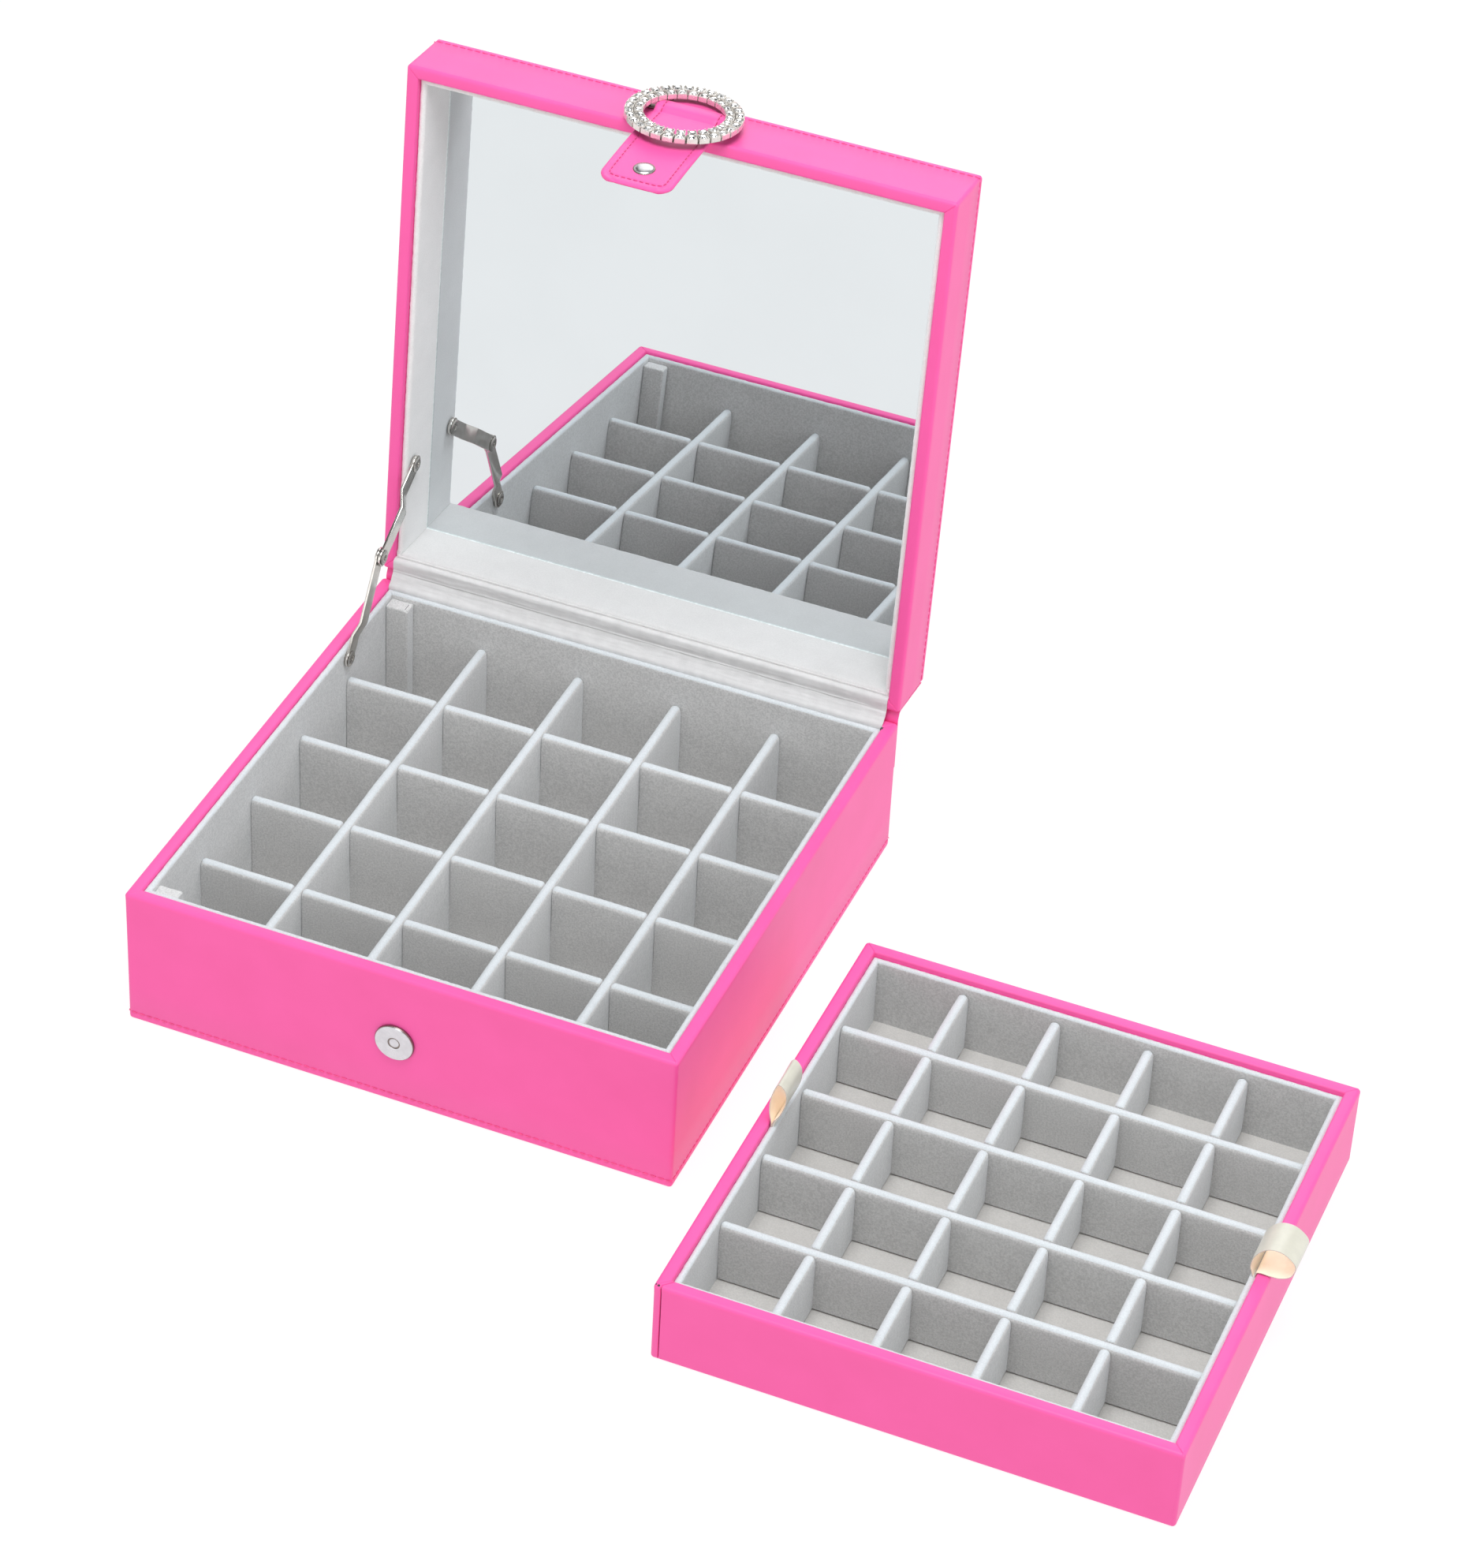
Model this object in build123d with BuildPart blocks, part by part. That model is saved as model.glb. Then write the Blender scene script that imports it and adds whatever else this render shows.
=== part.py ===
from build123d import *
from math import acos, atan2, cos, hypot, radians, sin
import os

# Earring box with a hinged mirror lid, a folding stay, a snap strap and a lift-out tray.
# The frame's origin is the centre of the base's underside, X runs to the right,
# Y to the back and Z up. The box stands open, and the tray stands on the floor beside it.

# Overall sizes in millimetres
BOX_WIDTH = 220.0
BOX_DEPTH = 219.0
BASE_HEIGHT = 60.0
LID_HEIGHT = 27.5
TRAY_WIDTH = 192.8
TRAY_DEPTH = 203.0
TRAY_HEIGHT = 34.8
TRAY_CENTRE = (233.0, -89.9)

# Wall build-up, from the outside in
SKIN = 0.6
BOARD = 3.8
LINER = 2.6
RIM = SKIN + BOARD + SKIN
INNER = RIM + LINER
EDGE_ROUND = 1.4
RIM_ROUND = 0.9
TURN_IN = 12.0
FIT = 0.05

# Floors
SHEET = 0.8
BASE_BOARD = 3.0
BASE_PAD = 1.6
TRAY_BOARD = 2.0
TRAY_PAD = 1.2
MIRROR = 1.1
LID_BOARD = 1.6

# Liners and dividers
BASE_LINER_DROP = 0.8
TRAY_LINER_DROP = 1.8
LID_LINER_DROP = 2.0
LID_BACK_LINER_DROP = 0.6
LINER_ROUND = 1.0
DIVIDER = 4.0
DIVIDER_ROUND = 1.8
LAP_GAP = 0.2
SLOTS = 5
BASE_DIVIDER_TOP = 44.6
TRAY_DIVIDER_TOP = 30.0
POST = (9.5, 6.0)
POST_TOP = 57.0

# Lid hinge
OPEN_ANGLE = 95.4
CLOSED_GAP = 0.5
HINGE_Y = BOX_DEPTH / 2 + 1.7
HINGE_Z = BASE_HEIGHT + 3.0

# Folding stay on the left wall, its pivots given by height and place
STAY_LINK = 41.5
STAY_BASE_Y = 61.8
STAY_BASE_Z = 54.6
STAY_LID_Y = 63.6
STAY_LID_UP = 7.4
LINK_WIDTH = 6.0
LINK_END = 3.6
LINK_THICK = 1.0
PIN = 1.45
PIN_HOLE = 1.5
RIVET_HEAD = 2.8

# Closure strap, snap and ring
STRAP_X = -0.25
STRAP_WIDTH = 28.4
STRAP_THICK = 1.6
STRAP_LIFT = 0.1
STRAP_LENGTH = 43.8
STRAP_DROOP = 6.0
STRAP_FOLD = 16.4
STRAP_CORNER = 6.0
STRAP_ON_TOP = 26.0
SNAP_DROP = 30.6
SOCKET_UP = 29.4
SNAP_RADIUS = 7.8
SNAP_THICK = 1.4
RING_X = -0.5
RING_UP = 6.6
RING_OUT = 3.2
RING_OUTER = 22.3
RING_INNER = 15.15
RING_PLATE = 0.5
BAR_UP = 15.0
OUTER_STONES = 30
INNER_STONES = 25
CUP = (3.45, 3.7, 2.2)
STONE_RADIUS = 1.6

# Ribbon loops on the tray
RIBBON_WIDTH = 15.0
RIBBON_THICK = 0.8

os.makedirs("parts", exist_ok=True)

BASE = Plane.XY
TRAY = Plane((TRAY_CENTRE[0], TRAY_CENTRE[1], 0))
X_AXIS = Vector(1, 0, 0)


def turned(y, z, angle):
    """Turn a point of the closed lid about the hinge by an opening angle."""
    turn = radians(angle)
    dy, dz = y - HINGE_Y, z - HINGE_Z
    return (
        HINGE_Y + dy * cos(turn) + dz * sin(turn),
        HINGE_Z - dy * sin(turn) + dz * cos(turn),
    )


# The lid's own frame: its origin is the centre of the rim, and Z runs to the lid's top
lid_y, lid_z = turned(0, BASE_HEIGHT + CLOSED_GAP, OPEN_ANGLE)
opening = radians(OPEN_ANGLE)
LID = Plane((0, lid_y, lid_z), x_dir=(1, 0, 0), z_dir=(0, sin(opening), cos(opening)))


def save(piece, label):
    """Label a finished piece and write it."""
    piece.label = label
    export_step(piece, f"parts/{label}.step")


def centre(low, high):
    """Middle of a block given by its two corners."""
    return tuple((a + b) / 2 for a, b in zip(low, high))


def spread(low, high):
    """Size of a block given by its two corners."""
    return tuple(b - a for a, b in zip(low, high))


def block(frame, low, high):
    """Plain plate between two corners of a frame."""
    with BuildPart(frame) as plate:
        with Locations(centre(low, high)):
            Box(*spread(low, high))
    return plate.part


def rimmed(frame, low, high, rim_side):
    """Liner or divider plate whose two long edges on the rim side are round."""
    up = Axis(frame.origin, frame.z_dir)
    thick = min(spread(low, high)[:2])
    with BuildPart(frame) as plate:
        with Locations(centre(low, high)):
            Box(*spread(low, high))
        rim_edges = plate.edges().group_by(up)[-1 if rim_side > 0 else 0]
        fillet(rim_edges.sort_by(SortBy.LENGTH)[-2:], min(LINER_ROUND, thick / 2 - 0.2))
    return plate.part


def ring_of_walls(width, depth, inset, thick, low_z, high_z):
    """Corners of four upright plates: front and back whole, left and right between them."""
    x, y = width / 2 - inset, depth / 2 - inset
    return {
        "front": ((-x, -y, low_z), (x, -y + thick, high_z)),
        "back": ((-x, y - thick, low_z), (x, y, high_z)),
        "left": ((-x, -y + thick + FIT, low_z), (-x + thick, y - thick - FIT, high_z)),
        "right": ((x - thick, -y + thick + FIT, low_z), (x, y - thick - FIT, high_z)),
    }


def drilled(piece, plane, radius, low, high):
    """Piece with one round hole along a plane's normal."""
    with BuildPart() as bored:
        add(piece)
        with BuildSketch(plane.offset(low)):
            Circle(radius)
        extrude(amount=high - low, mode=Mode.SUBTRACT)
    return bored.part


def skin(frame, width, depth, low_z, high_z, open_side, closed_z):
    """Covering that wraps the outer walls and the rim and turns in over the boards.

    closed_z is the height of the panel's inner face on a covering with a whole panel,
    or None where both ends are open.
    """
    x, y = width / 2, depth / 2
    up = Axis(frame.origin, frame.z_dir)
    rim_z = high_z if open_side > 0 else low_z
    turn_z = rim_z - open_side * TURN_IN
    under_rim = rim_z - open_side * SKIN
    far_z = closed_z if closed_z is not None else (low_z if open_side > 0 else high_z)
    with BuildPart(frame) as cover:
        with Locations((0, 0, (low_z + high_z) / 2)):
            Box(width, depth, high_z - low_z)
        fillet(cover.edges().filter_by(up), EDGE_ROUND)
        ends = cover.faces().sort_by(up)
        if closed_z is None:
            fillet(ends[-1 if open_side > 0 else 0].edges(), EDGE_ROUND)
        else:
            fillet(ends[0].edges() + ends[-1].edges(), EDGE_ROUND)
        # Room for the boards up to the start of the turned-in edge
        with Locations((0, 0, (far_z + turn_z) / 2)):
            Box(width - 2 * SKIN, depth - 2 * SKIN, abs(far_z - turn_z), mode=Mode.SUBTRACT)
        # Open middle beside the turned-in edge
        with Locations((0, 0, (turn_z + rim_z) / 2)):
            Box(width - 2 * RIM, depth - 2 * RIM, TURN_IN, mode=Mode.SUBTRACT)
        # Slots for the boards inside the turned-in edge
        for low, high in ring_of_walls(width, depth, SKIN, BOARD, 0, 1).values():
            low = (low[0], low[1], min(turn_z, under_rim))
            high = (high[0], high[1], max(turn_z, under_rim))
            grown = (spread(low, high)[0], spread(low, high)[1] + 4 * FIT, spread(low, high)[2])
            if low[1] > -y + 2 and high[1] < y - 2:
                with Locations(centre(low, high)):
                    Box(*grown, mode=Mode.SUBTRACT)
            else:
                with Locations(centre(low, high)):
                    Box(*spread(low, high), mode=Mode.SUBTRACT)
        inner_rim = cover.faces().sort_by(up)[-1 if open_side > 0 else 0].inner_wires()
        fillet(inner_rim.edges(), RIM_ROUND * 0.6)
    return cover.part


def slot_pitch(length):
    """Distance from one divider to the next across a compartment space."""
    return (length - (SLOTS - 1) * DIVIDER) / SLOTS + DIVIDER


def divider_places(length):
    """Middle of each divider across a compartment space, counted from its middle."""
    pitch = slot_pitch(length)
    return [(i - (SLOTS - 2) / 2) * pitch for i in range(SLOTS - 1)]


def notched_divider(frame, at, reach, low, high, along, notches):
    """Divider with a round top: notches is the height range and the places of its half laps."""
    size = (2 * reach, DIVIDER) if along == "X" else (DIVIDER, 2 * reach)
    middle = (0, at) if along == "X" else (at, 0)
    notch_low, notch_high, places = notches
    notch = DIVIDER + LAP_GAP
    with BuildPart(frame) as divider:
        with Locations((*middle, (low + high) / 2)):
            Box(*size, high - low)
        tops = divider.faces().sort_by(Axis.Z)[-1].edges()
        fillet(tops.filter_by(Axis.X if along == "X" else Axis.Y), DIVIDER_ROUND)
        for place in places:
            spot = (place, at) if along == "X" else (at, place)
            cut = (notch, DIVIDER * 2) if along == "X" else (DIVIDER * 2, notch)
            with Locations((*spot, (notch_low + notch_high) / 2)):
                Box(*cut, notch_high - notch_low, mode=Mode.SUBTRACT)
    return divider.part


def divider_set(frame, width, depth, floor, top, whole_on_top):
    """Half-lapped dividers front to back and side to side.

    whole_on_top names the ones that pass over the others: Y front to back, X side to side.
    """
    halfway = (floor + top) / 2
    from_below = (floor, halfway + LAP_GAP / 2)
    from_above = (halfway - LAP_GAP / 2, top)
    rows, columns = divider_places(depth), divider_places(width)
    long_laps = (*(from_below if whole_on_top == "Y" else from_above), rows)
    cross_laps = (*(from_below if whole_on_top == "X" else from_above), columns)
    long_ones = [
        notched_divider(frame, x, depth / 2 - FIT, floor, top, "Y", long_laps) for x in columns
    ]
    cross_ones = [
        notched_divider(frame, y, width / 2 - FIT, floor, top, "X", cross_laps) for y in rows
    ]
    return long_ones, cross_ones


# Pivots of the stay, worked out in the side view
LINER_FACE = -BOX_WIDTH / 2 + INNER
lid_pivot = turned(STAY_LID_Y, BASE_HEIGHT + CLOSED_GAP + STAY_LID_UP, OPEN_ANGLE)
base_pivot = (STAY_BASE_Y, STAY_BASE_Z)
across = hypot(lid_pivot[0] - base_pivot[0], lid_pivot[1] - base_pivot[1])
chord_turn = atan2(lid_pivot[1] - base_pivot[1], lid_pivot[0] - base_pivot[0])
lower_turn = chord_turn + acos(across / 2 / STAY_LINK)
upper_turn = chord_turn - acos(across / 2 / STAY_LINK)
mid_pivot = (
    base_pivot[0] + STAY_LINK * cos(lower_turn),
    base_pivot[1] + STAY_LINK * sin(lower_turn),
)


def stay_plane(pivot, turn=0.0):
    """Plane on the left liner's face at a pivot, facing the inside of the box."""
    return Plane(
        (LINER_FACE, pivot[0], pivot[1]),
        x_dir=(0, cos(turn), sin(turn)),
        z_dir=(1, 0, 0),
    )


BASE_RIVET = stay_plane(base_pivot)
SNAP = Plane((STRAP_X, -BOX_DEPTH / 2, SOCKET_UP), x_dir=(1, 0, 0), z_dir=(0, -1, 0))

# Base boards
base_walls = ring_of_walls(BOX_WIDTH, BOX_DEPTH, SKIN, BOARD, SHEET, BASE_HEIGHT - SKIN)
for side, (low, high) in base_walls.items():
    wall = block(BASE, low, high)
    if side == "front":
        wall = drilled(wall, SNAP, PIN_HOLE * 2, -6, 2)
    if side == "left":
        wall = drilled(wall, BASE_RIVET, PIN_HOLE, -6.5, 0)
    save(wall, f"base_wall_{side}")
inside_x = BOX_WIDTH / 2 - SKIN - BOARD - FIT
inside_y = BOX_DEPTH / 2 - SKIN - BOARD - FIT
base_floor = SHEET + BASE_BOARD
save(
    block(BASE, (-inside_x, -inside_y, SHEET), (inside_x, inside_y, base_floor)),
    "base_bottom_board",
)

# Base covering and underside sheet
base_cover = skin(BASE, BOX_WIDTH, BOX_DEPTH, SHEET, BASE_HEIGHT, 1, None)
base_cover = drilled(base_cover, SNAP, PIN_HOLE * 2, -2, 1)
base_cover = drilled(base_cover, BASE_RIVET, PIN_HOLE, -6.5, 0)
save(base_cover, "base_cover")
with BuildPart() as underside_sheet:
    with BuildSketch():
        RectangleRounded(BOX_WIDTH - 0.6, BOX_DEPTH - 0.6, EDGE_ROUND)
    extrude(amount=SHEET)
save(underside_sheet.part, "base_underside_sheet")

# Base lining
base_liners = ring_of_walls(
    BOX_WIDTH, BOX_DEPTH, RIM, LINER, base_floor, BASE_HEIGHT - BASE_LINER_DROP
)
for side, (low, high) in base_liners.items():
    liner = rimmed(BASE, low, high, 1)
    if side == "left":
        liner = drilled(liner, BASE_RIVET, PIN_HOLE, -6, 2)
    save(liner, f"base_liner_{side}")
base_space = (BOX_WIDTH - 2 * INNER, BOX_DEPTH - 2 * INNER)
pad_x, pad_y = base_space[0] / 2 - FIT, base_space[1] / 2 - FIT
base_pad_top = base_floor + BASE_PAD
save(
    block(BASE, (-pad_x, -pad_y, base_floor), (pad_x, pad_y, base_pad_top)),
    "base_floor_pad",
)

# Base dividers and corner posts
long_ones, cross_ones = divider_set(BASE, *base_space, base_pad_top, BASE_DIVIDER_TOP, "Y")
for number, divider in enumerate(long_ones, 1):
    save(divider, f"base_divider_long_{number}")
for number, divider in enumerate(cross_ones, 1):
    save(divider, f"base_divider_cross_{number}")
for name, side in (("front", -1), ("back", 1)):
    post_x = -base_space[0] / 2 + FIT + POST[0] / 2
    post_y = side * (base_space[1] / 2 - FIT - POST[1] / 2)
    with BuildPart() as post:
        with BuildSketch(Plane.XY.offset(base_pad_top)):
            with Locations((post_x, post_y)):
                RectangleRounded(*POST, 1.0)
        extrude(amount=POST_TOP - base_pad_top)
        fillet(post.faces().sort_by(Axis.Z)[-1].edges(), 0.7)
    save(post.part, f"base_post_{name}")

# Snap socket on the front, and its washer behind the board
with BuildPart() as snap_socket:
    with BuildSketch(SNAP.offset(FIT)):
        Circle(SNAP_RADIUS)
    extrude(amount=SNAP_THICK - FIT)
    fillet(snap_socket.faces().sort_by(Axis.Y)[0].edges(), 0.5)
    with BuildSketch(SNAP.offset(SNAP_THICK)):
        Circle(1.6)
    extrude(amount=-0.9, mode=Mode.SUBTRACT)
    with BuildSketch(SNAP.offset(FIT)):
        Circle(PIN_HOLE * 2 - FIT)
    extrude(amount=-(SKIN + BOARD + 0.5 + FIT))
save(snap_socket.part, "snap_socket")
with BuildPart() as snap_washer:
    with BuildSketch(SNAP.offset(-(SKIN + BOARD + FIT))):
        Circle(6.0)
        Circle(PIN_HOLE * 2, mode=Mode.SUBTRACT)
    extrude(amount=-0.45)
save(snap_washer.part, "snap_socket_washer")

# Lid boards
lid_walls = ring_of_walls(BOX_WIDTH, BOX_DEPTH, SKIN, BOARD, SKIN, LID_HEIGHT - SKIN)
for side, (low, high) in lid_walls.items():
    save(block(LID, low, high), f"lid_wall_{side}")
lid_panel = LID_HEIGHT - SKIN - LID_BOARD
save(
    block(LID, (-inside_x, -inside_y, lid_panel), (inside_x, inside_y, LID_HEIGHT - SKIN)),
    "lid_top_board",
)
save(
    skin(LID, BOX_WIDTH, BOX_DEPTH, 0, LID_HEIGHT, -1, LID_HEIGHT - SKIN),
    "lid_cover",
)

# Mirror and the lid's lining
glass = lid_panel - MIRROR
save(
    block(LID, (-inside_x + FIT, -inside_y + FIT, glass), (inside_x - FIT, inside_y - FIT, lid_panel)),
    "lid_mirror",
)
for side, (low, high) in ring_of_walls(BOX_WIDTH, BOX_DEPTH, RIM, LINER, 0, glass).items():
    drop = LID_BACK_LINER_DROP if side == "back" else LID_LINER_DROP
    save(rimmed(LID, (low[0], low[1], drop), high, -1), f"lid_liner_{side}")

# Leatherette strip outside the hinge and silky lining cloth inside it, in the open pose
fold = LID.from_local_coords(Vector(0, BOX_DEPTH / 2 + 0.45, 0))
along = LID.z_dir
strip_y = BOX_DEPTH / 2 + 0.45
strip_z = fold.Z + along.Z * (strip_y - fold.Y) / along.Y
strip_end = (strip_y + 19 * along.Y, strip_z + 19 * along.Z)
with BuildPart() as hinge_strip:
    with BuildSketch(Plane.YZ.offset(-BOX_WIDTH / 2 + 0.6)):
        with BuildLine():
            FilletPolyline((strip_y, BASE_HEIGHT - 22), (strip_y, strip_z), strip_end, radius=3.0)
        trace(line_width=0.7)
    extrude(amount=BOX_WIDTH - 1.2)
save(hinge_strip.part, "hinge_cover")
rim_low = LID.from_local_coords(Vector(0, BOX_DEPTH / 2, -0.4))
rim_high = LID.from_local_coords(Vector(0, BOX_DEPTH / 2 - RIM + 0.2, -0.4))
lining_z = BASE_HEIGHT + 0.4
with BuildPart() as hinge_cloth:
    with BuildSketch(Plane.YZ.offset(-BOX_WIDTH / 2 + RIM)):
        with BuildLine():
            FilletPolyline(
                (BOX_DEPTH / 2 - INNER + 0.6, lining_z),
                (BOX_DEPTH / 2 - 1.2, lining_z),
                (rim_low.Y, rim_low.Z),
                (rim_high.Y, rim_high.Z),
                radius=1.2,
            )
        trace(line_width=0.6)
    extrude(amount=BOX_WIDTH - 2 * RIM)
save(hinge_cloth.part, "hinge_lining")

# Rivet that holds the stay to the base
with BuildPart() as base_rivet:
    with BuildSketch(BASE_RIVET.offset(-6.4)):
        Circle(PIN)
    extrude(amount=6.4 + 1.6)
    with BuildSketch(BASE_RIVET.offset(FIT)):
        Circle(LINK_END)
    extrude(amount=0.25)
    with BuildSketch(BASE_RIVET.offset(1.5)):
        Circle(RIVET_HEAD)
    extrude(amount=0.7)
    fillet(base_rivet.faces().sort_by(Axis.X)[-1].edges(), 0.35)
    with BuildSketch(BASE_RIVET.offset(2.2)):
        Circle(1.0)
    extrude(amount=-0.45, mode=Mode.SUBTRACT)
save(base_rivet.part, "stay_base_rivet")


def stay_link(frame, start, end, bend_low, bend_high):
    """Stamped link with a step between two layers and a round eye at each end."""
    side_view = Plane(frame.origin, x_dir=frame.x_dir, z_dir=-frame.y_dir)
    reach = STAY_LINK + LINK_END
    with BuildPart() as link:
        with BuildSketch(side_view):
            with BuildLine():
                Polyline(
                    (-LINK_END, start),
                    (bend_low, start),
                    (bend_high, end),
                    (reach, end),
                    (reach, end + LINK_THICK),
                    (bend_high, end + LINK_THICK),
                    (bend_low, start + LINK_THICK),
                    (-LINK_END, start + LINK_THICK),
                    close=True,
                )
            make_face()
        extrude(amount=LINK_END, both=True)
        with BuildSketch(frame.offset(-1)):
            with Locations((0, 0), (STAY_LINK, 0)):
                Circle(LINK_END)
            with Locations((STAY_LINK / 2, 0)):
                Rectangle(STAY_LINK, LINK_WIDTH)
        extrude(amount=9, mode=Mode.INTERSECT)
        with BuildSketch(frame.offset(-1)):
            with Locations((0, 0), (STAY_LINK, 0)):
                Circle(PIN_HOLE)
        extrude(amount=9, mode=Mode.SUBTRACT)
    return link.part


# Stay links: the lower one steps off the wall, the upper one steps back to it
LOWER_LINK = stay_plane(base_pivot, lower_turn)
UPPER_LINK = stay_plane(mid_pivot, upper_turn)
save(stay_link(LOWER_LINK, 0.4, 2.4, 9.0, 14.5), "stay_lower_link")
save(stay_link(UPPER_LINK, 3.7, 0.7, 21.5, 28.5), "stay_upper_link")


def through_rivet(frame, low, high):
    """Rivet with a head on each side of what it joins."""
    with BuildPart() as rivet:
        with BuildSketch(frame.offset(low)):
            Circle(RIVET_HEAD)
        extrude(amount=0.55)
        with BuildSketch(frame.offset(low)):
            Circle(PIN)
        extrude(amount=high - low - 0.1)
        with BuildSketch(frame.offset(high - 0.65)):
            Circle(RIVET_HEAD)
        extrude(amount=0.65)
        fillet(rivet.faces().sort_by(Axis.X)[-1].edges(), 0.3)
        with BuildSketch(frame.offset(high)):
            Circle(1.0)
        extrude(amount=-0.4, mode=Mode.SUBTRACT)
    return rivet.part


save(through_rivet(stay_plane(mid_pivot), 1.8, 5.5), "stay_mid_rivet")
with BuildPart() as lid_rivet:
    frame = stay_plane(lid_pivot)
    with BuildSketch(frame.offset(0.35)):
        Circle(LINK_END)
    extrude(amount=0.25)
    with BuildSketch(frame.offset(0.35)):
        Circle(PIN)
    extrude(amount=1.6)
    with BuildSketch(frame.offset(1.8)):
        Circle(RIVET_HEAD)
    extrude(amount=0.65)
    fillet(lid_rivet.faces().sort_by(Axis.X)[-1].edges(), 0.3)
    with BuildSketch(frame.offset(2.45)):
        Circle(1.0)
    extrude(amount=-0.4, mode=Mode.SUBTRACT)
save(lid_rivet.part, "stay_lid_rivet")

# Strap over the lid's front: its profile plane has X towards the lid's top and Y outwards
rim_corner = LID.from_local_coords(Vector(STRAP_X, -BOX_DEPTH / 2, 0))
STRAP = Plane(rim_corner, x_dir=LID.z_dir, z_dir=X_AXIS)
low_side = STRAP_LIFT
hump = 0.9
bar_half = 1.4
with BuildPart() as strap_anchor:
    with BuildSketch(STRAP):
        with BuildLine():
            Polyline(
                (0.2, low_side),
                (BAR_UP - 4.4, low_side),
                (BAR_UP - 1.7, low_side + hump),
                (BAR_UP + 1.7, low_side + hump),
                (BAR_UP + 4.4, low_side),
                (LID_HEIGHT + low_side, low_side),
                (LID_HEIGHT + low_side, -STRAP_ON_TOP),
                (LID_HEIGHT + low_side + STRAP_THICK, -STRAP_ON_TOP),
                (LID_HEIGHT + low_side + STRAP_THICK, low_side + STRAP_THICK),
                (BAR_UP + 4.7, low_side + STRAP_THICK),
                (BAR_UP + 2.0, low_side + hump + STRAP_THICK),
                (BAR_UP - 2.0, low_side + hump + STRAP_THICK),
                (BAR_UP - 4.7, low_side + STRAP_THICK),
                (0.2, low_side + STRAP_THICK),
                close=True,
            )
        make_face()
    extrude(amount=STRAP_WIDTH / 2, both=True)
    top_corner = Vector(LID_HEIGHT + low_side + STRAP_THICK, low_side + STRAP_THICK, 0)
    corner_point = STRAP.from_local_coords(top_corner)
    long_edges = strap_anchor.edges().filter_by(Axis.X)
    fillet(long_edges.sort_by_distance(corner_point)[0], 1.2)
save(strap_anchor.part, "strap_anchor")

# Moving part of the strap: a short root under the ring and the flap that is pulled
droop = radians(STRAP_DROOP)
strap_pivot = STRAP.from_local_coords(Vector(0, STRAP_LIFT + STRAP_THICK / 2, 0))
run = STRAP.x_dir * -cos(droop) + STRAP.y_dir * -sin(droop)
FLAP = Plane(strap_pivot, x_dir=run, z_dir=run.cross(X_AXIS))
if FLAP.z_dir.dot(STRAP.y_dir) < 0:
    FLAP = Plane(strap_pivot, x_dir=run, z_dir=X_AXIS.cross(run))
half = STRAP_THICK / 2
fold_gap = half + 0.15
root_low = (0.2, -STRAP_WIDTH / 2, -half)
root_high = (STRAP_FOLD - fold_gap, STRAP_WIDTH / 2, half)
save(block(FLAP, root_low, root_high), "strap_root")
with BuildPart() as strap_flap:
    with BuildSketch(FLAP.offset(-half)):
        with BuildLine():
            start, end, side = STRAP_FOLD, STRAP_LENGTH, STRAP_WIDTH / 2
            FilletPolyline(
                (start, -side), (end, -side), (end, side), (start, side), radius=STRAP_CORNER
            )
            Line((start, side), (start, -side))
        make_face()
    extrude(amount=STRAP_THICK)
    # Round nose on the line where the flap peels up
    with BuildSketch(Plane(FLAP.from_local_coords(Vector(STRAP_FOLD, 0, 0)), z_dir=X_AXIS)):
        Circle(half)
    extrude(amount=STRAP_WIDTH / 2, both=True)
    with BuildSketch(FLAP.offset(-half)):
        with Locations((SNAP_DROP, 0)):
            Circle(6.0 + FIT)
    extrude(amount=0.5, mode=Mode.SUBTRACT)
    with BuildSketch(FLAP.offset(-half)):
        with Locations((SNAP_DROP, 0)):
            Circle(PIN_HOLE)
    extrude(amount=STRAP_THICK, mode=Mode.SUBTRACT)
save(strap_flap.part, "strap_flap")
with BuildPart() as snap_stud:
    with BuildSketch(FLAP.offset(-half - 0.6)):
        with Locations((SNAP_DROP, 0)):
            Circle(6.0)
    extrude(amount=1.05)
    with BuildSketch(FLAP.offset(-half - 0.6)):
        with Locations((SNAP_DROP, 0)):
            Circle(2.4)
            Circle(1.2, mode=Mode.SUBTRACT)
    extrude(amount=0.35, mode=Mode.SUBTRACT)
save(snap_stud.part, "snap_stud")
with BuildPart() as snap_cap:
    with BuildSketch(FLAP.offset(-half + 0.5)):
        with Locations((SNAP_DROP, 0)):
            Circle(PIN)
    extrude(amount=STRAP_THICK - 0.5)
    with BuildSketch(FLAP.offset(half + FIT)):
        with Locations((SNAP_DROP, 0)):
            Circle(4.0)
    extrude(amount=0.9, taper=35)
    with BuildSketch(FLAP.offset(half)):
        with Locations((SNAP_DROP, 0)):
            Circle(PIN)
    extrude(amount=0.3)
save(snap_cap.part, "snap_cap")

# Ring on the strap: a flat ring with a bar under the strap, and two rows of stones in cups
ring_centre = STRAP.from_local_coords(Vector(RING_UP, RING_OUT, RING_X - STRAP_X))
RING = Plane(ring_centre, x_dir=X_AXIS, z_dir=STRAP.y_dir)
bar_y = BAR_UP - RING_UP
bar_low = -RING_OUT + 0.15
with BuildPart(RING) as ring_frame:
    with Locations((0, 0, RING_PLATE / 2)):
        Cylinder(RING_OUTER, RING_PLATE)
        Cylinder(RING_INNER, RING_PLATE, mode=Mode.SUBTRACT)
    with Locations((0, bar_y, bar_low + 0.35)):
        Box(38.4, 2 * bar_half, 0.7)
    with Locations((-18.2, bar_y, bar_low / 2 + 0.1), (18.2, bar_y, bar_low / 2 + 0.1)):
        Box(2.0, 2 * bar_half, -bar_low + 0.2)
save(ring_frame.part, "ring_frame")
outer_row = RING_OUTER - CUP[0] / 2
inner_row = RING_INNER + CUP[0] / 2
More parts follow.
